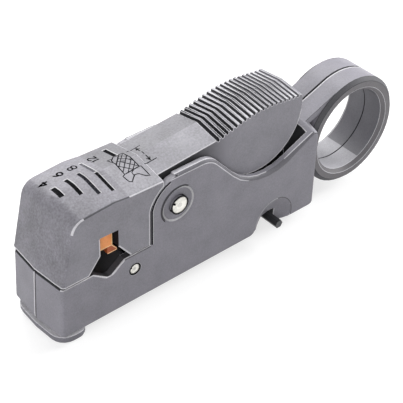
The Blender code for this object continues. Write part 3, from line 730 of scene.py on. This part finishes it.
# Painted highlight and painted shade along the scoop's edge, a dark seam line down the nose, and a
# painted highlight along the ring's seam
for name, look, chosen, start, width in (
        ("scoop_rim_line", rim_highlight_look, scoop_rim, 0.00002, 0.00016),
        ("scoop_shade_line", dusk_look, scoop_shade, 0.00002, 0.0002),
        ("nose_seam_line", seam_and_painted_shade_line, nose_seam, 0.00002, 0.00024),
        ("ring_seam_line", edge_highlight_look, ring_seam, 0.00004, 0.00026)):
    edge_lines("body_shell_near", name, "body", look, chosen, start, width)


# ---- lever
RIB_START = 0.031
LEVER_PARTING = 0.0046
CREASE = 0.0056
JAW_CROWN = 0.0017
JAW_SPAN = 0.0085
ARM_HALF = 0.0068
ARM_START = 0.0146
ARM_DARK_END = 0.035  # the arm's side is in shade ahead of it
ROOF_LOW = 0.016
PAD_LIFT = 0.001


def ease(value, low, high):
    """Smooth step from 0 at low to 1 at high."""
    share = min(1.0, max(0.0, (value - low) / (high - low)))
    return share * share * (3 - 2 * share)


def part_faces(mesh, chosen, spot, normal):
    """Cut the chosen faces along a plane."""
    parts = (chosen + list({e for f in chosen for e in f.edges})
             + list({v for f in chosen for v in f.verts}))
    bmesh.ops.bisect_plane(mesh, geom=parts, dist=0.000001, plane_co=spot, plane_no=normal)


def lever_shape(mesh):
    """Round off the ridge of the jaw's roof, part the arm's sides and dip the pad's crown."""
    for y in (-1.5, -1.0, -0.5, 0.5, 1.0, 1.5):
        roof = [f for f in mesh.faces if f.normal.z > 0.35
                and f.calc_center_median().x < CREASE and f.calc_center_median().z > ROOF_LOW]
        part_faces(mesh, roof, (0, y * MM, 0), (0, 1, 0))
    for vert in mesh.verts:
        place = vert.co
        near = 0.0015 - abs(place.y)
        if place.z > 0.0165 and near > 0 and place.x < CREASE - TINY:
            start = ease(place.x, -0.012, -0.008)
            place.z -= JAW_CROWN / JAW_SPAN * near * near / 0.003 * start
    sides = [f for f in mesh.faces if sideways(f.normal)
             and abs(f.calc_center_median().y) > ARM_HALF - TINY
             and f.calc_center_median().x > ARM_START]
    part_faces(mesh, sides, (ARM_DARK_END, 0, 0), (1, 0, 0))
    for vert in mesh.verts:
        place = vert.co
        if place.x > RIB_START and place.z > 0.019 and abs(place.y) < ARM_HALF:
            hump = ease(place.x, RIB_START, 0.04) * (1 - ease(place.x, 0.048, 0.057))
            place.z -= 0.0004 * hump * (1 - abs(place.y) / ARM_HALF)


def crown(y):
    """Rise of the thumb pad toward its middle."""
    return PAD_LIFT * max(0.0, 1 - abs(y) / ARM_HALF)


def rib_envelope(mesh):
    """Upper hull of the thumb pad as (x, z) points, with the crown taken off."""
    points = sorted((v.co.x, v.co.z - crown(v.co.y)) for v in mesh.verts
                    if v.co.x > RIB_START - 0.001 and abs(v.co.y) < ARM_HALF + TINY
                    and v.co.z > 0.02)
    hull = []
    for p in points:
        while len(hull) > 1 and ((hull[-1][0] - hull[-2][0]) * (p[1] - hull[-2][1])
                                 - (hull[-1][1] - hull[-2][1]) * (p[0] - hull[-2][0])) >= 0:
            hull.pop()
        hull.append(p)
    return hull


pad_hull = []


def lever_zone(centre, normal):
    """Look of a face of the lever: painted shade on the slot, the gaps, the grooves, the hollow,
    the arm's sides, the roof and the far deck; painted light on the rib crests and the near deck.
    """
    if (abs(centre.x) < 0.0058 and abs(normal.y) < 0.1
            and LEVER_PARTING - TINY < centre.z < 0.0135):
        return VOID
    if normal.z < -0.9 and abs(centre.z - LEVER_PARTING) < TINY:
        return GAP
    if 0.01 < centre.x < 0.015 and normal.x > 0.25 and abs(centre.y) > ARM_HALF:
        return GAP
    if centre.x > RIB_START and centre.z > 0.019 and abs(normal.y) < 0.6 and normal.z > -0.2:
        for (ax, az), (bx, bz) in zip(pad_hull, pad_hull[1:]):
            if ax <= centre.x <= bx:
                top = az + (bz - az) * (centre.x - ax) / (bx - ax)
                depth = top - (centre.z - crown(centre.y))
                if depth > 0.00016:
                    return GROOVE
                if depth < 0.00012 and centre.x < 0.056:
                    return RIB
    facing = normal.z > 0.2 or (normal.x < -0.3 and centre.x < -0.008)
    if centre.x < CREASE and abs(normal.y) < 0.8 and facing:
        return ROOF
    if normal.z > 0.35 and centre.z > ROOF_LOW and CREASE <= centre.x < RIB_START:
        return DECK_FAR if centre.y > 0 else DECK_NEAR
    if centre.z < 0.018 and abs(normal.y) < 0.5 and centre.x > 0.012:
        return INSIDE
    if (sideways(normal) and abs(centre.y) < ARM_HALF + TINY
            and ARM_START < centre.x < ARM_DARK_END):
        return CHEEK
    return OUTER


def lever_weight(middle, edge):
    """No painted edge highlight inside the slot and the V, a wide one on the nose, narrow ones on
    the ribs.
    """
    away = off_axis(middle, PIVOT)
    along = run_of(edge)
    if abs(middle.x) < 0.0062 and middle.z < 0.0142:
        if abs(middle.y) < 0.008 or (middle.x > 0.0018 and abs(along.z) > 0.95):
            return 0.0
    if abs(along.z) > 0.8 and middle.x < -0.008 and abs(middle.y) > 0.006:
        return 2.4
    if (abs(middle.y) > JAW_SPAN and 0.01 < middle.x < 0.015
            and 0.008 < away < 0.0092):
        return 1.8
    if middle.x > RIB_START and middle.z > 0.018:
        return 0.5
    return 1.0


def prepare_lever(mesh):
    """Shape the lever and keep the pad's hull for lever_zone."""
    lever_shape(mesh)
    pad_hull.extend(rib_envelope(mesh))


def lever_dark_edge(spot):
    """Edge of the jaw along the step of the shells."""
    away = off_axis(spot, PIVOT)
    return 0.01 < spot.x < 0.0149 and 0.0078 < away < 0.0092 and abs(spot.y) > ARM_HALF


def jaw_corner(spot):
    """Upright corners of the jaw's nose, in the look of its roof, a painted shade."""
    return front_corner(spot) and 0.0056 < spot.z < 0.0175


def roof_corner(spot):
    """Long corners between the jaw's roof and its sides, in shade."""
    return -0.0045 < spot.x < CREASE - 0.0002 and spot.z > ROOF_LOW and abs(spot.y) > 0.008


lever_looks = (lever_look, edge_highlight_look, inside_shade_look, gap_and_shade_look, groove_shade_look, cheek_shade_look, rib_highlight_look,
               void_shade_look, roof_shade_look, far_deck_shade_look, near_deck_light_look, dusk_look)
lever = skin("lever", "lever_top", lever_looks, 0.00016, zone=lever_zone, weigh=lever_weight,
             shape=prepare_lever)
# Painted shade in place of the painted highlight along the step of the shells
repaint(lever, GAP, lever_dark_edge)
repaint(lever, ROOF, jaw_corner)
repaint(lever, DUSK, roof_corner)
graph = bpy.context.evaluated_depsgraph_get()
surface = BVHTree.FromObject(lever, graph)


def deck(x, y):
    """Height of the lever's top at a place given in millimetres."""
    return surface.ray_cast(Vector((x * MM, y * MM, 0.06)), Vector((0, 0, -1)))[0].z


def groove_mesh(mesh, path, width, index):
    """Round-bottomed groove along a path of (x, y) points in millimetres."""
    points = []
    for (ax, ay), (bx, by) in zip(path, path[1:]):
        steps = max(1, int(math.dist((ax, ay), (bx, by)) / 0.5))
        points += [(ax + (bx - ax) * k / steps, ay + (by - ay) * k / steps)
                   for k in range(steps)]
    points.append(path[-1])
    spots = [Vector((x * MM, y * MM, deck(x, y))) for x, y in points]
    last = len(spots) - 1
    radius = width * MM / 2
    turns = [2 * math.pi * k / 8 + 0.39 for k in range(8)]
    rings = []
    for i, spot in enumerate(spots):
        ahead = (spots[min(i + 1, last)] - spots[max(i - 1, 0)]).normalized()
        across = Vector((-ahead.y, ahead.x, 0)).normalized()
        lift = across.cross(ahead) * -1.0
        if i in (0, last):
            spot = spot + ahead * ((1 if i else -1) * radius * 0.5)
        rings.append([mesh.verts.new(spot + across * (radius * math.cos(turn))
                                     + lift * (radius * math.sin(turn))) for turn in turns])
    tube(mesh, rings, index)


def bar_mesh(mesh, x, width, y0, y1, depth, rim, index):
    """Flat-bottomed bar across the deck, in millimetres, with a slanted rim in a painted highlight.
    """
    steps = max(1, int(round((y1 - y0) / 0.7)))
    rows = []
    for i in range(steps + 1):
        y = y0 + (y1 - y0) * i / steps
        outer = y + (-rim if i == 0 else rim if i == steps else 0.0)
        row = []
        for side in (-1, 1):
            inner_x = x + side * width / 2
            outer_x = x + side * (width / 2 + rim)
            low = Vector((inner_x * MM, y * MM, deck(inner_x, y) - depth * MM))
            level = Vector((outer_x * MM, outer * MM, deck(outer_x, outer) + 0.00002))
            row.append([mesh.verts.new(p) for p in (low, level, level + Vector((0, 0, 0.0006)))])
        rows.append(row)

    def quad(corners, material):
        """Face with its own look."""
        mesh.faces.new(corners).material_index = material

    for one, two in zip(rows, rows[1:]):
        quad((one[0][0], one[1][0], two[1][0], two[0][0]), index)
        quad((one[0][1], one[0][0], two[0][0], two[0][1]), RIM)
        quad((one[1][0], one[1][1], two[1][1], two[1][0]), RIM)
        quad((one[0][2], one[0][1], two[0][1], two[0][2]), RIM)
        quad((one[1][1], one[1][2], two[1][2], two[1][1]), RIM)
        quad((one[1][2], one[0][2], two[0][2], two[1][2]), RIM)
    for row in (rows[0], rows[-1]):
        quad((row[0][1], row[1][1], row[1][0], row[0][0]), RIM)
        quad((row[0][2], row[1][2], row[1][1], row[0][1]), RIM)


def arc_points(cx, cy, rx, ry, start, end, steps):
    """Points on an ellipse between two angles in degrees."""
    angles = [math.radians(start + (end - start) * i / steps) for i in range(steps + 1)]
    return [(cx + rx * math.cos(angle), cy + ry * math.sin(angle)) for angle in angles]


def digit_strokes(sign, width, height):
    """Strokes of a plain 1, 2, 4, 6 or 8 as (along, up) points about its centre."""
    w, h = width / 2, height / 2
    if sign == "1":
        return [[(-w * 0.5, h * 0.55), (w * 0.25, h), (w * 0.25, -h)]]
    if sign == "2":
        top = arc_points(0.0, h * 0.45, w, h * 0.55, 165, -35, 8)
        return [top + [(-w, -h), (w, -h)]]
    if sign == "4":
        return [[(w * 0.45, -h), (w * 0.45, h), (-w, -h * 0.35), (w, -h * 0.35)]]
    if sign == "6":
        bowl = arc_points(0.0, -h * 0.42, w, h * 0.58, 150, -210, 12)
        return [[(w * 0.55, h), (-w * 0.35, h * 0.45)] + bowl]
    return [arc_points(0.0, h * 0.5, w * 0.82, h * 0.5, -90, 270, 10),
            arc_points(0.0, -h * 0.46, w, h * 0.54, 90, -270, 12)]


marks = bmesh.new()
INK_BLACK, INK_MID, INK_WORN, RIM = range(4)
# Bars of the scale: place along X, width, two ends along Y, depth, rim, ink
for bar in ((-6.12, 1.2, -1.82, 1.62, 0.2, 0.13, INK_BLACK),
            (-2.52, 0.92, -3.5, 2.17, 0.18, 0.12, INK_BLACK),
            (0.62, 0.82, -5.42, 2.11, 0.16, 0.12, INK_MID),
            (3.68, 0.8, -6.05, -0.02, 0.16, 0.12, INK_BLACK),
            (3.64, 0.8, 0.3, 5.45, 0.14, 0.12, INK_WORN)):
    bar_mesh(marks, *bar)
# Figures: sign, centre, width, height, width of the pen
for sign, cx, cy, width, height, pen in (
        ("4", -6.5, 4.35, 1.5, 2.0, 0.54), ("6", -2.35, 4.98, 1.45, 1.95, 0.5),
        ("8", 1.12, 4.82, 1.5, 2.0, 0.38), ("1", 6.75, 4.25, 0.8, 1.85, 0.4),
        ("2", 6.75, 5.55, 1.2, 1.85, 0.4)):
    for stroke in digit_strokes(sign, width, height):
        groove_mesh(marks, [(cx - t, cy + s) for s, t in stroke], pen, INK_BLACK)

# Plain drawing of a stripped cable: core, braid, jacket and a measuring arrow
LINE, FINE = 0.27, 0.22
bar_mesh(marks, 11.1, 1.1, 2.95, 7.1, 0.18, 0.1, INK_BLACK)
for pen, look, *path in (
        (LINE, INK_BLACK, (8.75, -0.45), (11.75, 2.7), (12.8, 2.62), (12.8, -3.08),
         (8.6, -3.5), (8.75, -0.45)),
        (LINE, INK_BLACK, (11.45, 2.45), (10.3, 2.72), (9.1, 1.7), (8.72, 0.7),
         (8.8, -0.42)),
        (LINE, INK_MID, (8.72, 0.7), (8.35, 2.3), (9.35, 2.2)),
        (FINE, INK_MID, (9.6, -3.4), (12.8, -0.3)),
        (FINE, INK_MID, (8.62, -2.9), (12.8, 1.2)),
        (FINE, INK_MID, (8.72, -1.35), (12.55, 2.45)),
        (FINE, INK_MID, (10.95, -3.25), (12.8, -1.6)),
        (FINE, INK_MID, (8.75, -0.8), (11.1, -3.2)),
        (FINE, INK_MID, (9.6, 0.4), (12.7, -2.9)),
        (FINE, INK_MID, (10.5, 1.35), (12.8, -1.1)),
        (FINE, INK_MID, (11.4, 2.3), (12.8, 0.7)),
        (LINE, INK_BLACK, (8.6, -3.5), (7.9, -3.78), (8.12, -5.6), (8.7, -5.95),
         (9.55, -5.2), (10.45, -4.55), (11.35, -4.75), (12.2, -5.85), (13.1, -6.35),
         (13.18, -3.2), (12.8, -3.08)),
        (FINE, INK_MID, (10.1, -4.6), (10.3, -3.7), (10.95, -3.45)),
        (0.25, INK_MID, (13.7, 2.45), (17.35, 2.62)),
        (0.25, INK_MID, (14.25, -3.08), (17.5, -3.05)),
        (0.24, INK_BLACK, (15.98, 1.75), (16.02, 0.75)),
        (0.24, INK_BLACK, (16.04, 0.2), (16.06, -0.55)),
        (0.24, INK_BLACK, (16.08, -1.1), (16.12, -2.4))):
    groove_mesh(marks, path, pen, look)
for tip, away in ((2.25, -1), (-2.75, 1)):
    barb = tip + 0.75 * away
    groove_mesh(marks, [(15.62, barb), (16.04, tip), (16.46, barb)], 0.26, INK_BLACK)
    groove_mesh(marks, [(16.04, tip), (16.04, tip + 0.8 * away)], 0.36, INK_BLACK)

bmesh.ops.recalc_face_normals(marks, faces=marks.faces)
carve(lever, build("marks", marks, (ink_black, ink_mid, ink_worn, rim_highlight_look)))


def ridge_line(one, two):
    """Edges of the ridge on the nose and behind the crease."""
    on_ridge = abs(one.y) < TINY and abs(two.y) < TINY
    return on_ridge and (max(one.x, two.x) < -0.0095 or min(one.x, two.x) > CREASE - TINY)


settle(lever, crisp=ridge_line)
adopt(lever, "lever", "lever")


def jaw_line(face, edge):
    """Lower edge of the jaw's front, and the edges of its slot and V."""
    middle, beyond = line_edge(face, edge)
    if abs(face.normal.z) > 0.6 or beyond.angle(face.normal, 0.0) < math.radians(40):
        return False
    if beyond.z < -0.9 and abs(middle.z - LEVER_PARTING) < TINY * 2 and middle.x < -0.0046:
        return sideways(face.normal) or face.normal.x < -0.5
    on_side = sideways(face.normal) and abs(middle.y) > 0.008
    if on_side and abs(middle.x) < 0.0062 and LEVER_PARTING + TINY < middle.z < 0.0129:
        return not (middle.x > 0.0018 and abs(run_of(edge).z) > 0.95)
    return False


def arm_line(face, edge):
    """Lower edge of the arm's sides, and the rear edge of the jaw."""
    middle, beyond = line_edge(face, edge)
    if abs(face.normal.y) < 0.9 or beyond.angle(face.normal, 0.0) < math.radians(5):
        return False
    if abs(middle.y) < ARM_HALF + TINY and middle.x > 0.0352 and middle.z < 0.0205:
        return beyond.z < 0.2
    if abs(beyond.y) > 0.5:
        return False
    return (abs(middle.y) > 0.008 and 0.01 < middle.x < 0.015
            and 0.0078 < off_axis(middle, PIVOT) < 0.0092)


def jaw_rear_line(face, edge):
    """The rear edge of the jaw alone."""
    return arm_line(face, edge) and edge.verts[0].co.x < 0.02


# Painted highlights along the jaw's and the arm's edges
for name, chosen, start, width in (("jaw_edge_lines", jaw_line, 0.0001, 0.00026),
                                   ("arm_edge_lines", arm_line, 0.00004, 0.00018),
                                   ("jaw_rear_lines", jaw_rear_line, 0.0002, 0.00014)):
    edge_lines("lever", name, "lever", edge_highlight_look, chosen, start, width)


# ---- pins
def pin(name, node, radius, sides, gap):
    """Rolled pin with a slit at its rim, in a ring of clearance; the slit and the ring are dark
    with painted shade.
    """
    low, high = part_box(node)
    centre = ((low.x + high.x) / 2, 0.0, (low.z + high.z) / 2)
    end = (high.y - low.y) / 2
    lip = radius * 0.1
    ring = end - 0.00002
    foot = end - gap
    wide = radius + 0.00031
    half = [(0.0, end - 0.00006), (radius * 0.3, end - 0.00006), (radius * 0.42, end - 0.00001),
            (radius - lip * 1.6, end), (radius - lip * 0.5, end - lip * 0.25),
            (radius, end - lip), (radius, ring), (wide, ring), (wide, foot), (radius, foot)]
    profile = [(r, -a) for r, a in half] + [(r, a) for r, a in reversed(half)]
    one_end = ([END_RIM] + [END_FACE] * 3 + [END_RIM] * 2 + [CLEARANCE] * 3)
    item = lathe(name, profile, centre, sides, (nickel, nickel_rim, pin_painted_shade, shell_look),
                 indices=one_end + [WALLS] + one_end[::-1])
    slit = bmesh.new()
    turn = Matrix.Rotation(math.radians(31.0), 4, "Y")
    for sign in (-1, 1):
        for vert in bmesh.ops.create_cube(slit, size=1.0)["verts"]:
            spot = Vector((vert.co.x * radius * 0.6 - radius * 0.98, vert.co.y * 0.0008,
                           vert.co.z * radius * 0.26))
            vert.co = turn @ spot + Vector((centre[0], sign * end, centre[2]))
    carve(item, build(name + "_slit", slit, (pin_painted_shade,)))
    settle(item, 50)
    adopt(item, "body", node)


pin("pin_pivot", "pivot_pin", 0.00205, 56, 0.00016)
pin("pin_small", "block_pin", 0.00125, 40, 0.0004)


def dish_shade(name, sign):
    """Crescent of painted shade beside the dish, widest in its middle."""
    mesh = bmesh.new()
    steps = 32
    rows = []
    for i in range(steps + 1):
        share = i / steps
        turn = math.radians(58 + 160 * share)
        half = 0.00031 * math.sin(math.pi * share) ** 0.6 + 0.00001
        row = []
        for reach, lift in ((-half, -0.00003), (-half, 0.00003), (half, 0.00003), (half, -0.00003)):
            span = 0.00486 + reach
            row.append(mesh.verts.new((PIVOT.x + span * math.cos(turn), sign * (HALF_BODY + lift),
                                       PIVOT.z + span * math.sin(turn))))
        rows.append(row)
    tube(mesh, rows)
    bmesh.ops.recalc_face_normals(mesh, faces=mesh.faces)
    return build(name, mesh, (seam_and_painted_shade_line,))


# Thin raised line round the dish of each shell in a painted highlight, a crescent of painted shade
# beside it, and a ring of painted shade round the small pin
low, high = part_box("block_pin")
small_pin = ((low.x + high.x) / 2, 0.0, (low.z + high.z) / 2)
inner = (high.x - low.x) / 2 + 0.00002
outer = (high.x - low.x) / 2 + 0.00032
for side, sign in (("near", -1), ("far", 1)):
    dish_floor = sign * (HALF_BODY - 0.0005)
    bead = lathe("dish_line_" + side, [
        (0.00396, dish_floor + sign * 0.00001), (0.00404, dish_floor + sign * 0.00016),
        (0.0044, dish_floor + sign * 0.00018), (0.0045, dish_floor + sign * 0.00002)],
        (PIVOT.x, 0.0, PIVOT.z), 72, (rim_highlight_look,))
    settle(bead, 60)
    ride_along(bead)
    ride_along(dish_shade("dish_shade_" + side, sign))
    foot, top = sign * HALF_BODY - sign * 0.00004, sign * HALF_BODY + sign * 0.00003
    washer = lathe("pin_shade_" + side, [(inner, foot), (inner, top), (outer, top), (outer, foot)],
                   small_pin, 40, (pin_painted_shade,))
    settle(washer, 60)
    ride_along(washer)

# ---- cable rest, cassette, blades, screws
def rest_zone(centre, normal):
    """Look of the toe, of its upper rim in a painted highlight, and of the block inside the body in
    painted shade.
    """
    if abs(centre.z + 0.0099) < TINY and normal.z > 0.9:
        return EDGE
    return INSIDE if centre.z > -0.0098 else OUTER


def rest_weight(middle, edge):
    """Painted edge highlights on the toe only."""
    return 0.0 if middle.z > -0.009 else 1.0


rest = skin("v_block", "cable_rest", (block_look, edge_highlight_look, inside_shade_look), 0.00012, zone=rest_zone,
            weigh=rest_weight)
settle(rest)
adopt(rest, "rest", "v_block")


def cassette_zone(centre, normal):
    """Painted shade, a deeper orange, on the faces that lie low in the slot."""
    return INSIDE if centre.z < 0.0082 and normal.z > -0.5 else OUTER


def cassette_weight(middle, edge):
    """No painted edge highlight on the low upright edges."""
    return 0.0 if middle.z < 0.01 and abs(run_of(edge).z) > 0.7 else 1.0


cassette = skin("blade_cassette", "orange_cassette", (orange_look, orange_painted_highlight, orange_painted_shade),
                0.00014, zone=cassette_zone, weigh=cassette_weight)
settle(cassette)
adopt(cassette, "lever", "blade_cassette")


def cassette_line(face, edge):
    """Rear and lower edges of the cassette's outer face."""
    middle, beyond = line_edge(face, edge)
    return (sideways(face.normal) and (beyond.x > 0.5 or beyond.z < -0.5)
            and abs(middle.y) > 0.006)


# Painted highlight along the rear and lower edges of the cassette's outer face
edge_lines("blade_cassette", "cassette_lines", "lever", orange_painted_highlight, cassette_line,
           0.00004, 0.00022)

for side in ("near", "far"):
    blade = skin("blade_" + side, "cutter_" + side, (blade_look, blade_look), 0.00004)
    settle(blade)
    adopt(blade, "blade_" + side, "blade_" + side)
    node = "set_screw_" + side
    screw = skin(node, "screw_" + side, (screw_look, screw_look), 0.00008)
    settle(screw)
    adopt(screw, "screw_" + side, node)

# ---- key
key = skin("hex_key", "bent_key", (key_look, key_look), 0.0001, angle=40.0)
for polygon in key.data.polygons:
    if abs(polygon.normal.y) > 0.99 or abs(polygon.normal.x) > 0.999:
        polygon.material_index = KEY_END
key.data.materials.append(key_end)
settle(key)
adopt(key, "key", "hex_key")

# ---- spring
low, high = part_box("spring")
wire = 0.00035
coil_radius = (high.x - low.x) / 2 - wire
axis_x = (low.x + high.x) / 2
mesh = bmesh.new()
rings = []
turns, per_turn, around = 6, 40, 10
first, last = low.z + wire, high.z - wire
for i in range(turns * per_turn + 1):
    share = i / (turns * per_turn)
    turn = 2 * math.pi * turns * share
    # The coils lie closer together at both ends
    closed = 0.5 - 0.5 * math.cos(math.pi * share)
    height = first + (last - first) * (share * 0.7 + closed * 0.3)
    out = Vector((math.cos(turn), math.sin(turn), 0.0))
    middle = Vector((axis_x, 0.0, height)) + out * coil_radius
    angles = [2 * math.pi * k / around for k in range(around)]
    rings.append([mesh.verts.new(middle + out * (wire * math.cos(angle))
                                 + Vector((0, 0, wire * math.sin(angle)))) for angle in angles])
tube(mesh, rings)
bmesh.ops.recalc_face_normals(mesh, faces=mesh.faces)
spring = build("return_spring", mesh, (spring_look,))
spring.data.shade_smooth()
spring.data.set_sharp_from_angle(angle=math.radians(60))
adopt(spring, "body", "spring")
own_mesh(spring)

# ---- floor, world and lamps
floor_mesh = bmesh.new()
bmesh.ops.create_grid(floor_mesh, x_segments=8, y_segments=8, size=3.0)
floor = build("floor", floor_mesh)
floor.location = (0.03, 0.0, cad_low.z - 0.00002)
# The camera sees a floor that glows pale, so it stays white; light bounces off a grey one
floor_look, tree, shader = nodes_of("studio_floor")
path = put(tree, "LightPath")
mirrored = larger(tree, path.outputs["Is Glossy Ray"], path.outputs["Is Transmission Ray"])
seen = larger(tree, path.outputs["Is Camera Ray"], mirrored)
glow = put(tree, "Emission", Strength=0.66, Color=(1.0, 1.0, 1.0, 1.0))
pale = put(tree, "BsdfDiffuse", Color=(0.4, 0.4, 0.4, 1.0))
added = put(tree, "AddShader")
tree.links.new(glow.outputs[0], added.inputs[0])
tree.links.new(pale.outputs[0], added.inputs[1])
bounce = put(tree, "BsdfDiffuse", Color=(0.5, 0.5, 0.5, 1.0))
choose = put(tree, "MixShader")
tree.links.new(seen, choose.inputs[0])
tree.links.new(bounce.outputs[0], choose.inputs[1])
tree.links.new(added.outputs[0], choose.inputs[2])
tree.links.new(choose.outputs[0], tree.nodes["Material Output"].inputs["Surface"])
tree.nodes.remove(shader)
floor.data.materials.append(floor_look)
floor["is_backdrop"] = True

world = bpy.data.worlds.new("studio")
world.use_nodes = True
bpy.context.scene.world = world
tree = world.node_tree
sky = tree.nodes["Background"]
sky.inputs["Color"].default_value = (1.0, 1.0, 1.0, 1.0)
path = put(tree, "LightPath")
# Lights the part with less than what the camera sees behind it
strength = put(tree, "MapRange", To_Min=0.17, To_Max=1.0)
tree.links.new(path.outputs["Is Camera Ray"], strength.inputs["Value"])
tree.links.new(strength.outputs["Result"], sky.inputs["Strength"])


def lamp(name, spot, aim, size, power):
    """Square soft light at a spot, turned toward its aim."""
    data = bpy.data.lights.new(name, "AREA")
    data.shape = "SQUARE"
    data.size = size
    data.energy = power
    item = bpy.data.objects.new(name, data)
    bpy.context.scene.collection.objects.link(item)
    item.location = spot
    item.rotation_euler = (Vector(spot) - Vector(aim)).to_track_quat("Z", "Y").to_euler()


lamp("softbox_key", (0.4, 0.24, 0.64), (0.03, 0.0, 0.0), 0.36, 3.4)
lamp("softbox_left", (-0.72, 0.1, 0.24), (0.0, 0.0, 0.0), 0.4, 1.9)
lamp("softbox_front", (-0.5, -0.5, 0.4), (0.0, 0.0, 0.0), 0.4, 3.6)
lamp("softbox_right", (0.75, -0.1, 0.3), (0.03, 0.0, 0.0), 0.36, 7.0)
lamp("softbox_rear", (0.2, 0.6, 0.45), (0.03, 0.0, 0.0), 0.5, 5.6)

# ---- sizes
low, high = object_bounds()
